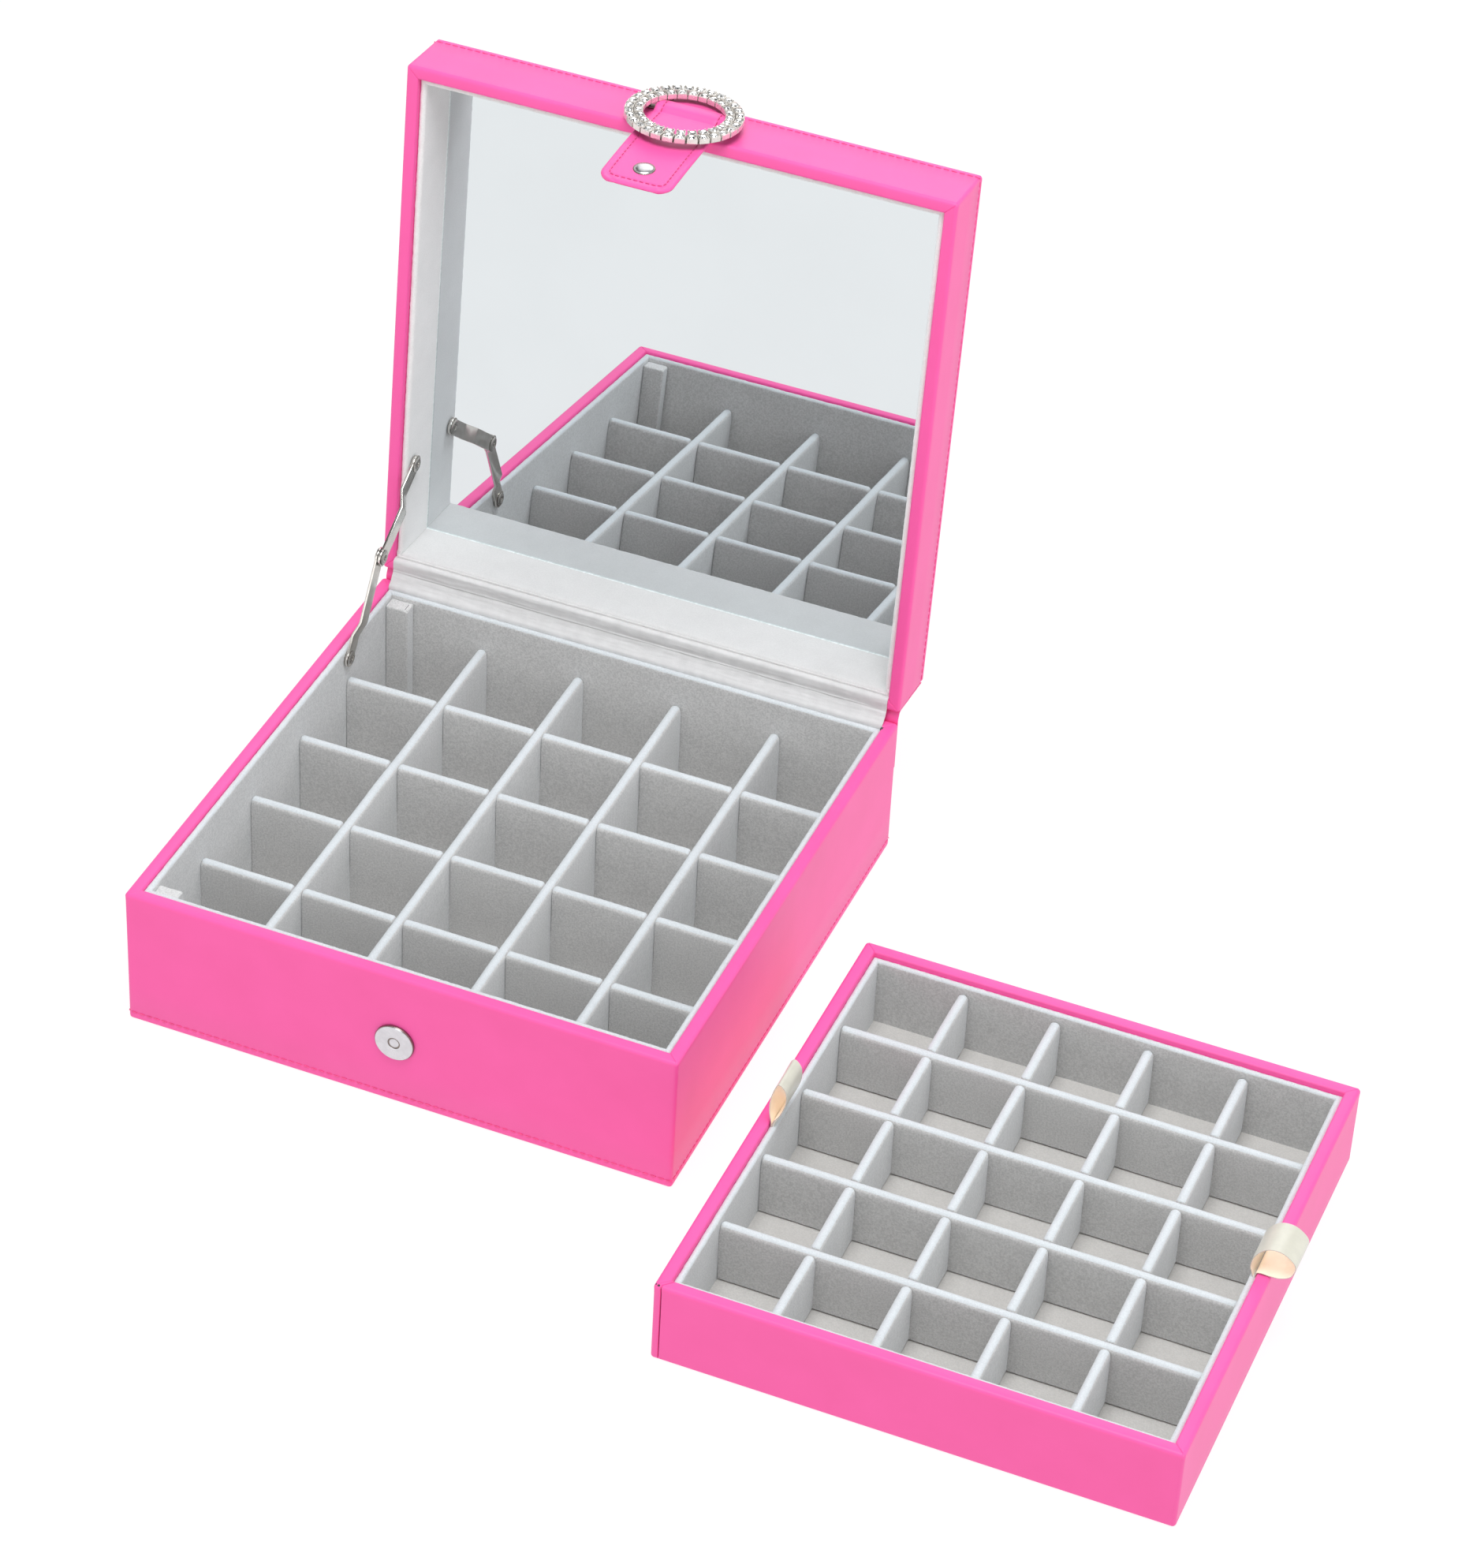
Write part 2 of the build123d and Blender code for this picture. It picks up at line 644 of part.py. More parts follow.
rows = ((outer_row, OUTER_STONES), (inner_row, INNER_STONES))
with BuildPart(RING.offset(RING_PLATE)) as ring_cups:
    for radius, count in rows:
        with PolarLocations(radius, count):
            Box(*CUP, align=(Align.CENTER, Align.CENTER, Align.MIN))
    with Locations((0, 0, CUP[2] - 1.1)):
        for radius, count in rows:
            with PolarLocations(radius, count):
                Cylinder(
                    STONE_RADIUS + FIT,
                    1.2,
                    align=(Align.CENTER, Align.CENTER, Align.MIN),
                    mode=Mode.SUBTRACT,
                )
save(ring_cups.part, "ring_cups")
with BuildPart(RING.offset(RING_PLATE + CUP[2] - 1.1)) as ring_stones:
    for radius, count in rows:
        with PolarLocations(radius, count):
            Cone(0.7, STONE_RADIUS, 1.0, align=(Align.CENTER, Align.CENTER, Align.MIN))
    with Locations((0, 0, 1.0)):
        for radius, count in rows:
            with PolarLocations(radius, count):
                Cone(STONE_RADIUS, 1.0, 0.6, align=(Align.CENTER, Align.CENTER, Align.MIN))
save(ring_stones.part, "ring_stones")

# Tray boards, covering and floor
tray_floor = SHEET + TRAY_BOARD
tray_pad_top = tray_floor + TRAY_PAD
with BuildPart() as tray_walls:
    walls = ring_of_walls(TRAY_WIDTH, TRAY_DEPTH, SKIN, BOARD, SHEET, TRAY_HEIGHT - SKIN)
    for low, high in walls.values():
        add(block(TRAY, low, high))
save(tray_walls.part, "tray_walls")
tray_x = TRAY_WIDTH / 2 - SKIN - BOARD - FIT
tray_y = TRAY_DEPTH / 2 - SKIN - BOARD - FIT
save(
    block(TRAY, (-tray_x, -tray_y, SHEET), (tray_x, tray_y, tray_floor)),
    "tray_bottom_board",
)
tray_skin = skin(TRAY, TRAY_WIDTH, TRAY_DEPTH, SHEET, TRAY_HEIGHT, 1, None)
seam_x = TRAY_CENTRE[0] - TRAY_WIDTH / 2 + 2.0
with BuildPart() as tray_cover:
    add(tray_skin)
    # Butt seam at the front left corner
    with Locations((seam_x, TRAY_CENTRE[1] - TRAY_DEPTH / 2 + 0.2, TRAY_HEIGHT / 2)):
        Box(0.4, 0.6, TRAY_HEIGHT - 6, mode=Mode.SUBTRACT)
save(tray_cover.part, "tray_cover")
with BuildPart(TRAY) as tray_sheet:
    with Locations((0, 0, SHEET / 2)):
        Box(TRAY_WIDTH - 1.0, TRAY_DEPTH - 1.0, SHEET)
    fillet(tray_sheet.edges().filter_by(Axis.Z), EDGE_ROUND)
save(tray_sheet.part, "tray_underside_sheet")
tray_space = (TRAY_WIDTH - 2 * INNER, TRAY_DEPTH - 2 * INNER)
with BuildPart() as tray_liners:
    liners = ring_of_walls(
        TRAY_WIDTH, TRAY_DEPTH, RIM, LINER, tray_floor, TRAY_HEIGHT - TRAY_LINER_DROP
    )
    for low, high in liners.values():
        add(rimmed(TRAY, low, high, 1))
save(tray_liners.part, "tray_liners")
pad_x, pad_y = tray_space[0] / 2 - FIT, tray_space[1] / 2 - FIT
save(
    block(TRAY, (-pad_x, -pad_y, tray_floor), (pad_x, pad_y, tray_pad_top)),
    "tray_floor_pad",
)

# Tray dividers, one node for each direction
long_ones, cross_ones = divider_set(TRAY, *tray_space, tray_pad_top, TRAY_DIVIDER_TOP, "X")
with BuildPart() as tray_long:
    add(long_ones)
save(tray_long.part, "tray_dividers_long")
with BuildPart() as tray_cross:
    add(cross_ones)
save(tray_cross.part, "tray_dividers_cross")

# Ribbon loops, outlines given as distance in from the tray's side and height
LEFT_LOOP = [
    (5.65, 33.3),
    (5.6, 35.0),
    (4.75, 40.0),
    (4.95, 46.5),
    (7.4, 53.4),
    (10.3, 51.0),
    (10.6, 45.5),
    (8.8, 39.5),
    (7.0, 35.0),
    (6.8, 33.3),
]
RIGHT_LOOP = [
    (7.0, 33.3),
    (7.7, 37.0),
    (6.6, 42.5),
    (2.5, 47.0),
    (-3.2, 47.5),
    (-8.0, 43.5),
    (-7.2, 38.4),
    (-3.6, 36.3),
    (0.5, 35.95),
    (3.7, 35.95),
    (5.4, 35.1),
    (5.8, 33.3),
]


def ribbon(points, side):
    """Ribbon bent into a loop over the tray's side wall, side being -1 left or 1 right."""
    edge = TRAY_CENTRE[0] + side * TRAY_WIDTH / 2
    path = [(edge - side * x, z) for x, z in points]
    front = Plane.XZ.offset(-TRAY_CENTRE[1] + RIBBON_WIDTH / 2)
    with BuildPart() as loop:
        with BuildSketch(front):
            with BuildLine():
                Spline(*path)
            trace(line_width=RIBBON_THICK)
        extrude(amount=-RIBBON_WIDTH)
    return loop.part


save(ribbon(LEFT_LOOP, -1), "tray_ribbon_left")
save(ribbon(RIGHT_LOOP, 1), "tray_ribbon_right")
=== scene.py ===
"""Looks of an earring box: leatherette box, mirror lid, velvet compartments and a lift-out tray."""

import math

import bmesh
import bpy
from bpy.props import FloatProperty, FloatVectorProperty, IntProperty, PointerProperty
from mathutils import Matrix, Vector, noise


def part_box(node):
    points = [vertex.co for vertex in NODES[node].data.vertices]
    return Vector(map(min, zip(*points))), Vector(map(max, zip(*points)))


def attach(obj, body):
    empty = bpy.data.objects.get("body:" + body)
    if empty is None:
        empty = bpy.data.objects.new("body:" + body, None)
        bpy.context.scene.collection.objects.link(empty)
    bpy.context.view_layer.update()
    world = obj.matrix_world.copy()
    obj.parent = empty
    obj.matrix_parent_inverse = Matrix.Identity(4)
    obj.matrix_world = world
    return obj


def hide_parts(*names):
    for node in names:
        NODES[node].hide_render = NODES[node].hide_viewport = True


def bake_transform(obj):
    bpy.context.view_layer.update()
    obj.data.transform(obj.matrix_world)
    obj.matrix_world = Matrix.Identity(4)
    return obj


bl_info = {
    "name": "Earring Box",
    "version": (1, 0, 0),
    "blender": (4, 5, 0),
    "location": "View3D > Sidebar > Earring Box",
    "description": "Builds the covering, velvet, mirror, strap, ring, stay and ribbons of an earring box",
    "category": "Object",
}

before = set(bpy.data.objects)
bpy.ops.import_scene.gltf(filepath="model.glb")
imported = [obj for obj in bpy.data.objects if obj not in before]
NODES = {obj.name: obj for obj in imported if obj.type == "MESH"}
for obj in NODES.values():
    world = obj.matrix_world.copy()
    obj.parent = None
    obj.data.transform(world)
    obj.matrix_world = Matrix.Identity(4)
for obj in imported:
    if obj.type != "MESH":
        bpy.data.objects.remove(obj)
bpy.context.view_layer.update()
MM = 0.001


# Settings that a user would change

def length_setting(label, description, default):
    """Setting for a length."""
    return FloatProperty(name=label, description=description, default=default, unit="LENGTH")


def count_setting(label, description, default, least):
    """Setting for a number of like things."""
    return IntProperty(name=label, description=description, default=default, min=least)


def colour_setting(label, description, default):
    """Setting for the colour of a finish."""
    return FloatVectorProperty(name=label, description=description, default=default, subtype="COLOR")


class BoxSizes(bpy.types.PropertyGroup):
    """Sizes of the box, lid and tray."""

    width: length_setting("Width", "Outside width of the box", 0.220)
    depth: length_setting("Depth", "Outside depth of the box", 0.219)
    base_height: length_setting("Base height", "Height of the base's rim", 0.060)
    lid_height: length_setting("Lid height", "Height of the lid from rim to top", 0.0275)
    rim: length_setting("Rim", "Width of the covered rim", 0.005)
    liner: length_setting("Liner", "Thickness of the velvet wall liners", 0.0026)
    open_angle: FloatProperty(
        name="Open angle", description="Lid angle in the stored pose", default=math.radians(95.4),
        subtype="ANGLE",
    )
    tray_width: length_setting("Tray width", "Outside width of the tray", 0.1928)
    tray_depth: length_setting("Tray depth", "Outside depth of the tray", 0.203)
    tray_height: length_setting("Tray height", "Height of the tray", 0.0348)
    divider: length_setting("Divider", "Thickness of a divider", 0.004)
    slots: count_setting("Slots", "Compartments along each side", 5, 2)


class BoxTrim(bpy.types.PropertyGroup):
    """Sizes of the strap, ring, stitches and ribbons."""

    strap_width: length_setting("Strap width", "Width of the strap", 0.0284)
    strap_thick: length_setting("Strap thickness", "Thickness of the strap", 0.0016)
    strap_reach: length_setting("Strap reach", "Length of the strap beyond the rim", 0.0424)
    stitch_pitch: length_setting("Stitch pitch", "One stitch and its gap", 0.0031)
    stitch_length: length_setting("Stitch length", "Length of a stitch", 0.0024)
    thread: length_setting("Thread", "Thickness of the thread", 0.0006)
    outer_stones: count_setting("Outer stones", "Stones in the ring's outer row", 30, 3)
    inner_stones: count_setting("Inner stones", "Stones in the ring's inner row", 25, 3)
    ribbon_width: length_setting("Ribbon width", "Width of the ribbon", 0.015)
    fuzz: length_setting("Fuzz", "Unevenness of the velvet pile", 0.00016)


class BoxColours(bpy.types.PropertyGroup):
    """Colours of the finishes."""

    leather: colour_setting("Leatherette", "Covering", (1.0, 0.113, 0.40))
    thread: colour_setting("Thread", "Sewing thread", (0.95, 0.07, 0.28))
    dark_thread: colour_setting("Strap thread", "Thread on the strap", (0.62, 0.035, 0.20))
    velvet: colour_setting("Velvet", "Lining velvet", (0.67, 0.66, 0.65))
    floor_velvet: colour_setting("Floor velvet", "Velvet on the floors", (0.64, 0.61, 0.58))
    cloth: colour_setting("Hinge cloth", "Cloth over the hinge", (0.68, 0.67, 0.665))
    mirror: colour_setting("Mirror", "Mirror glass", (0.745, 0.775, 0.79))
    ribbon: colour_setting("Ribbon", "Satin ribbon", (0.67, 0.645, 0.545))
    nickel: colour_setting("Nickel", "Plating of the stay", (0.72, 0.69, 0.65))
    floor: colour_setting("Floor", "Studio floor", (0.12, 0.12, 0.12))


def sizes():
    """Sizes set in the scene."""
    return bpy.context.scene.earring_box_sizes


def trim():
    """Trim settings in the scene."""
    return bpy.context.scene.earring_box_trim


def colours():
    """Colours set in the scene."""
    return bpy.context.scene.earring_box_colours


# Frames of the three boxes

CLOSED_GAP = 0.5 * MM
HINGE_BACK = 1.7 * MM
HINGE_UP = 3.0 * MM
TRAY_PLACE = (233.0 * MM, -89.9 * MM, 0.0)
GLASS = 24.2 * MM


def base_frame():
    """The base's frame is the row's frame."""
    return Matrix.Identity(4)


def tray_frame():
    """Where the tray stands."""
    return Matrix.Translation(TRAY_PLACE)


def lid_frame():
    """Frame of the open lid: X right, Y to the hinge, Z from the rim to the lid's top."""
    s = sizes()
    hinge = Vector((0, s.depth / 2 + HINGE_BACK, s.base_height + HINGE_UP))
    closed = Matrix.Translation((0, 0, s.base_height + CLOSED_GAP))
    turn = Matrix.Rotation(-s.open_angle, 4, "X")
    return Matrix.Translation(hinge) @ turn @ Matrix.Translation(-hinge) @ closed


# Meshes and objects

def make_piece(name, verts, faces, material, place=None, smooth=40, faces_out=True):
    """Object at the origin from points in a frame, with faces that point outwards."""
    mesh = bpy.data.meshes.new(name)
    matrix = place if place is not None else Matrix.Identity(4)
    mesh.from_pydata([matrix @ Vector(v) for v in verts], [], faces)
    mesh.validate()
    bm = bmesh.new()
    bm.from_mesh(mesh)
    bmesh.ops.remove_doubles(bm, verts=bm.verts, dist=1e-7)
    if faces_out:
        bmesh.ops.recalc_face_normals(bm, faces=bm.faces)
    bm.to_mesh(mesh)
    bm.free()
    return make_object(name, mesh, material, smooth)


def link_object(name, mesh):
    """Object of a mesh in the scene."""
    piece = bpy.data.objects.new(name, mesh)
    bpy.context.scene.collection.objects.link(piece)
    return piece


def make_object(name, mesh, material, smooth=40):
    """Object of a finished mesh, shaded smooth below an angle."""
    if len(mesh.materials) == 0:
        mesh.materials.append(material)
    mesh.shade_smooth()
    mesh.set_sharp_from_angle(angle=math.radians(smooth))
    return link_object(name, mesh)


def settle(piece, body, slot, nodes=()):
    """Piece rides on a body and stands for CAD nodes; the slot is not used."""
    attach(piece, body)
    if nodes:
        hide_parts(*nodes)


def join_meshes(name, parts, material):
    """One object from several of one material, which are removed."""
    bm = bmesh.new()
    for part in parts:
        old = part.data
        bm.from_mesh(old)
        bpy.data.objects.remove(part)
        bpy.data.meshes.remove(old)
    mesh = bpy.data.meshes.new(name)
    bm.to_mesh(mesh)
    bm.free()
    mesh.materials.append(material)
    return link_object(name, mesh)


def arc(cx, cz, radius, start, end, steps):
    """Points of an arc in degrees, both ends included."""
    turns = [math.radians(start + (end - start) * i / steps) for i in range(steps + 1)]
    return [(cx + radius * math.cos(t), cz + radius * math.sin(t)) for t in turns]


CORNER_STEPS = 4
SHARP = 0.12 * MM
POLE = 1e-6
SAME_PLACE = 1e-6
CURVE_STEPS = 24


def rectangle_columns(width, depth, spacing, seams=()):
    """Columns round a rectangle: corner arcs, and side points a spacing apart.

    Each column is (corner, angle) or (side, share); seams is a list of (side, distance, half width).
    """
    columns = []
    lengths = (width, depth, width, depth)
    for side in range(4):
        length = lengths[side]
        columns += [("corner", side, 90 * i / CORNER_STEPS) for i in range(CORNER_STEPS + 1)]
        count = max(2, round(length / spacing))
        shares = {i / count for i in range(1, count)}
        shares |= {0.004, 0.012, 0.988, 0.996}
        for seam_side, distance, half in seams:
            if seam_side == side:
                middle = distance / length
                shares = {x for x in shares if abs(x - middle) > 2.2 * half / length}
                shares |= {middle - 2 * half / length, middle - half / length, middle}
                shares |= {middle + half / length, middle + 2 * half / length}
        columns += [("side", side, share) for share in sorted(shares)]
    return columns


def rectangle_point(width, depth, radius, inset, column):
    """Point of an inset rectangle at a column. Sides run front, right, back, left."""
    kind, side, value = column
    round_off = radius - inset if inset < radius - SHARP else SHARP
    a, b = width / 2 - inset - round_off, depth / 2 - inset - round_off
    centres = ((-a, -b), (a, -b), (a, b), (-a, b))
    if kind == "corner":
        cx, cy = centres[side]
        turn = math.radians(180 + 90 * side + value)
        return cx + round_off * math.cos(turn), cy + round_off * math.sin(turn)
    start, end = centres[side], centres[(side + 1) % 4]
    out = math.radians(270 + 90 * side)
    x = start[0] + (end[0] - start[0]) * value + round_off * math.cos(out)
    y = start[1] + (end[1] - start[1]) * value + round_off * math.sin(out)
    return x, y


def band_faces(rows, count, closed=False):
    """Faces between rows of points that each go once round."""
    faces = []
    for row in range(rows if closed else rows - 1):
        upper = (row + 1) % rows
        for i in range(count):
            j = (i + 1) % count
            faces.append((row * count + i, row * count + j, upper * count + j, upper * count + i))
    return faces


def tube_faces(rows, count):
    """Faces of a tube of rows of points, with both its ends closed."""
    return band_faces(rows, count) + [[row * count + i for i in range(count)] for row in (0, rows - 1)]


def sheet_faces(rows, count):
    """Faces of a thin sheet: a front and a back grid of points, joined round their rim."""
    width = count + 1
    layer, last = rows * width, (rows - 1) * width
    faces = []
    for i in range(rows - 1):
        for k in range(count):
            a = i * width + k
            b = a + layer
            faces += [(a, a + 1, a + width + 1, a + width), (b, b + width, b + width + 1, b + 1)]
    rim = list(range(count)) + [count + width * i for i in range(rows - 1)]
    rim += [last + count - k for k in range(count)] + [last - width * i for i in range(rows - 1)]
    return faces + [(a, a + layer, b + layer, b) for a, b in zip(rim, rim[1:] + rim[:1])]


def sweep_rectangle(
    name, width, depth, radius, profile, columns, material, place, shape=None, smooth=40, lids=()
):
    """Closed profile of (inset, height) swept round a rectangle.

    shape(x, y, inset, height, column) may move a point; lids are profile rows closed with a flat panel.
    """
    verts = []
    count = len(columns)
    for inset, height in profile:
        for column in columns:
            x, y = rectangle_point(width, depth, radius, inset, column)
            verts.append(shape(x, y, inset, height, column) if shape else (x, y, height))
    faces = band_faces(len(profile), count, closed=not lids)
    faces += [[row * count + i for i in range(count)] for row in lids]
    return make_piece(name, verts, faces, material, place, smooth)


def lathe(name, profile, origin, axis, material, steps=48, smooth=35):
    """Profile of (radius, height) in millimetres turned about an axis, closed at both ends."""
    axis = Vector(axis).normalized()
    side = axis.orthogonal().normalized()
    other = axis.cross(side)
    verts = []
    for radius, height in profile:
        reach = max(radius * MM, POLE)
        for i in range(steps):
            turn = 2 * math.pi * i / steps
            out = side * math.cos(turn) + other * math.sin(turn)
            verts.append(Vector(origin) + axis * height * MM + out * reach)
    return make_piece(name, verts, tube_faces(len(profile), steps), material, None, smooth)


def smooth_path(points, step):
    """Even points a step apart on a smooth curve through the given points."""
    count = len(points)
    fine = []
    for i in range(count - 1):
        before, start = points[max(i - 1, 0)], points[i]
        end, after = points[i + 1], points[min(i + 2, count - 1)]
        for k in range(CURVE_STEPS):
            t = k / CURVE_STEPS
            weights = (
                -0.5 * t + t * t - 0.5 * t**3,
                1 - 2.5 * t * t + 1.5 * t**3,
                0.5 * t + 2 * t * t - 1.5 * t**3,
                -0.5 * t * t + 0.5 * t**3,
            )
            near = zip((before, start, end, after), weights)
            fine.append(sum((p * w for p, w in near), Vector((0,) * len(start))))
    fine.append(points[-1].copy())
    return even_path(fine, step)


def even_path(points, step):
    """Points a step apart along straight runs."""
    lengths = [0.0]
    for a, b in zip(points, points[1:]):
        lengths.append(lengths[-1] + (b - a).length)
    count = max(2, round(lengths[-1] / step))
    found, at = [], 0
    for k in range(count + 1):
        target = lengths[-1] * k / count
        while at < len(points) - 2 and lengths[at + 1] < target:
            at += 1
        run = lengths[at + 1] - lengths[at]
        found.append(points[at].lerp(points[at + 1], (target - lengths[at]) / run if run else 0))
    return found


# Geometry Nodes

SOCKET_KINDS = {float: "NodeSocketFloat", int: "NodeSocketInt", tuple: "NodeSocketVector"}
NO_TURN = (0.0, 0.0, 0.0)


def add_inputs(tree, inputs):
    """Named inputs of a tree, each of its default's kind, and a material where there is none."""
    for label, value in inputs.items():
        kind = SOCKET_KINDS.get(type(value), "NodeSocketMaterial")
        socket = tree.interface.new_socket(name=label, in_out="INPUT", socket_type=kind)
        if value is not None:
            socket.default_value = value


def geometry_tree(name, inputs):
    """Geometry Nodes tree with a geometry input and named inputs, and the sockets that they give."""
    tree = bpy.data.node_groups.new(name, "GeometryNodeTree")
    tree.interface.new_socket(name="Geometry", in_out="INPUT", socket_type="NodeSocketGeometry")
    add_inputs(tree, inputs)
    tree.interface.new_socket(name="Geometry", in_out="OUTPUT", socket_type="NodeSocketGeometry")
    return tree, tree.nodes.new("NodeGroupInput").outputs


def add_node(tree, kind, inputs=None, **settings):
    """Node with its settings, and its inputs linked to sockets or set to values."""
    node = tree.nodes.new(kind)
    for key, value in settings.items():
        setattr(node, key, value)
    for key, value in (inputs or {}).items():
        socket = node.inputs[key]
        if isinstance(value, bpy.types.NodeSocket):
            tree.links.new(value, socket)
        else:
            socket.default_value = value
    return node


def grown_mesh(name, source, tree, values):
    """Plain mesh that a tree makes from a source object, which is removed."""
    modifier = source.modifiers.new(tree.name, "NODES")
    modifier.node_group = tree
    sockets = {item.name: item for item in tree.interface.items_tree if item.in_out == "INPUT"}
    for label, value in values.items():
        modifier[sockets[label].identifier] = value
    evaluated = source.evaluated_get(bpy.context.evaluated_depsgraph_get())
    mesh = bpy.data.meshes.new_from_object(evaluated)
    mesh.name = name
    source.modifiers.remove(modifier)
    old = source.data
    bpy.data.objects.remove(source)
    bpy.data.meshes.remove(old)
    return mesh


def tilted(tree, rotation, least, most, seed):
    """Rotation turned by a small random angle about each axis."""
    tilt = add_node(
        tree, "FunctionNodeRandomValue", {"Min": least, "Max": most, "Seed": seed}, data_type="FLOAT_VECTOR"
    )
    turned = add_node(
        tree, "FunctionNodeRotateRotation",
        {"Rotation": rotation, "Rotate By": tilt.outputs[0]}, rotation_space="LOCAL",
    )
    return turned.outputs[0]


def real_copies(tree, points, copied, rotation=NO_TURN):
    """Copies of a mesh on points, made real."""
    placed = add_node(
        tree, "GeometryNodeInstanceOnPoints", {"Points": points, "Instance": copied, "Rotation": rotation}
    )
    return add_node(tree, "GeometryNodeRealizeInstances", {"Geometry": placed.outputs[0]}).outputs[0]


def finish_tree(tree, geometry, material):
    """Tree that ends by giving its geometry a material."""
    finish = add_node(tree, "GeometryNodeSetMaterial", {"Geometry": geometry, "Material": material})
    tree.links.new(finish.outputs[0], tree.nodes.new("NodeGroupOutput").inputs[0])
    return tree


def stitch_tree():
    """Tree that lays stitches along the edges of a mesh line."""
    known = bpy.data.node_groups.get("Stitches")
    if known:
        return known
    tree, given = geometry_tree(
        "Stitches", {"Pitch": 0.0033, "Stitch Length": 0.0027, "Thread": 0.00045, "Seed": 3, "Material": None}
    )
    curve = add_node(tree, "GeometryNodeMeshToCurve", {"Mesh": given["Geometry"]})
    points = add_node(
        tree, "GeometryNodeCurveToPoints", {"Curve": curve.outputs[0], "Length": given["Pitch"]},
        mode="LENGTH",
    )
    along = add_node(
        tree, "FunctionNodeAlignRotationToVector", {"Vector": points.outputs["Tangent"]}, axis="Z"
    )
    turned = tilted(tree, along.outputs[0], (-0.06, -0.06, 0.0), (0.06, 0.06, 6.28), given["Seed"])
    bead = add_node(tree, "GeometryNodeMeshUVSphere", {"Segments": 8, "Rings": 7, "Radius": 0.5})
    size = add_node(
        tree, "ShaderNodeCombineXYZ",
        {"X": given["Thread"], "Y": given["Thread"], "Z": given["Stitch Length"]},
    )
    shaped = add_node(
        tree, "GeometryNodeTransform", {"Geometry": bead.outputs["Mesh"], "Scale": size.outputs[0]}
    )
    stitches = real_copies(tree, points.outputs["Points"], shaped.outputs[0], turned)
    return finish_tree(tree, stitches, given["Material"])


def stitch_line(name, paths, place, scale=1.0, dark=False):
    """Object of stitches that follow one or more lines of points."""
    verts, edges = [], []
    for path, closed in paths:
        start = len(verts)
        verts += [place @ Vector(p) for p in path]
        edges += [(start + i, start + i + 1) for i in range(len(path) - 1)]
        if closed:
            edges.append((len(verts) - 1, start))
    line = bpy.data.meshes.new(name + "_line")
    line.from_pydata(verts, edges, [])
    t = trim()
    values = {
        "Pitch": t.stitch_pitch * scale,
        "Stitch Length": t.stitch_length * scale,
        "Thread": t.thread,
        "Material": thread_material(dark),
    }
    mesh = grown_mesh(name, link_object(line.name, line), stitch_tree(), values)
    return make_object(name, mesh, thread_material(dark), 60)


def ring_tree():
    """Tree that sets copies of a mesh evenly round a circle, each facing outwards."""
    known = bpy.data.node_groups.get("Ring Of Copies")
    if known:
        return known
    tree, given = geometry_tree(
        "Ring Of Copies",
        {"Count": 30, "Radius": 0.02, "Tilt": 0.03, "Spin": 0.0, "Seed": 5, "Material": None},
    )
    circle = add_node(
        tree, "GeometryNodeMeshCircle", {"Vertices": given["Count"], "Radius": given["Radius"]}
    )
    place = add_node(tree, "GeometryNodeInputPosition")
    outwards = add_node(
        tree, "FunctionNodeAlignRotationToVector", {"Vector": place.outputs[0]}, axis="X", pivot_axis="Z"
    )
    most = add_node(
        tree, "ShaderNodeCombineXYZ", {"X": given["Tilt"], "Y": given["Tilt"], "Z": given["Spin"]}
    )
    least = add_node(tree, "ShaderNodeVectorMath", {0: most.outputs[0], "Scale": -1.0}, operation="SCALE")
    turned = tilted(tree, outwards.outputs[0], least.outputs[0], most.outputs[0], given["Seed"])
    copies = real_copies(tree, circle.outputs["Mesh"], given["Geometry"], turned)
    return finish_tree(tree, copies, given["Material"])


def divider_tree():
    """Tree that repeats one divider across the compartments and roughens its pile."""
    known = bpy.data.node_groups.get("Divider Rows")
    if known:
        return known
    tree, given = geometry_tree(
        "Divider Rows",
        {
            "Count": 4, "Start": NO_TURN, "Step": NO_TURN, "Fuzz": 0.00016, "Fuzz Scale": 900.0,
            "Wave": 0.0003, "Material": None,
        },
    )
    line = add_node(
        tree, "GeometryNodeMeshLine",
        {"Count": given["Count"], "Start Location": given["Start"], "Offset": given["Step"]},
    )
    shape = real_copies(tree, line.outputs[0], given["Geometry"])
    for amount, scale, detail in ((given["Wave"], 28.0, 1.0), (given["Fuzz"], given["Fuzz Scale"], 2.0)):
        where = add_node(tree, "GeometryNodeInputPosition")
        pattern = add_node(
            tree, "ShaderNodeTexNoise", {"Vector": where.outputs[0], "Scale": scale, "Detail": detail}
        )
        centred = add_node(
            tree, "ShaderNodeVectorMath", {0: pattern.outputs["Color"], 1: (0.5, 0.5, 0.5)},
            operation="SUBTRACT",
        )
        sized = add_node(
            tree, "ShaderNodeVectorMath", {0: centred.outputs[0], "Scale": amount}, operation="SCALE"
        )
        moved = add_node(tree, "GeometryNodeSetPosition", {"Geometry": shape, "Offset": sized.outputs[0]})
        shape = moved.outputs[0]
    return finish_tree(tree, shape, given["Material"])


# Shader groups and materials

def shader_group(name, inputs):
    """Shader group with a vector input and named inputs, and the sockets that they give."""
    tree = bpy.data.node_groups.new(name, "ShaderNodeTree")
    add_inputs(tree, {"Vector": (0.0, 0.0, 0.0), **inputs})
    return tree, tree.nodes.new("NodeGroupInput").outputs


def finish_group(tree, results):
    """Group that puts out named results."""
    for label in results:
        tree.interface.new_socket(name=label, in_out="OUTPUT", socket_type="NodeSocketFloat")
    out = tree.nodes.new("NodeGroupOutput")
    for label, result in results.items():
        tree.links.new(result, out.inputs[label])
    return tree


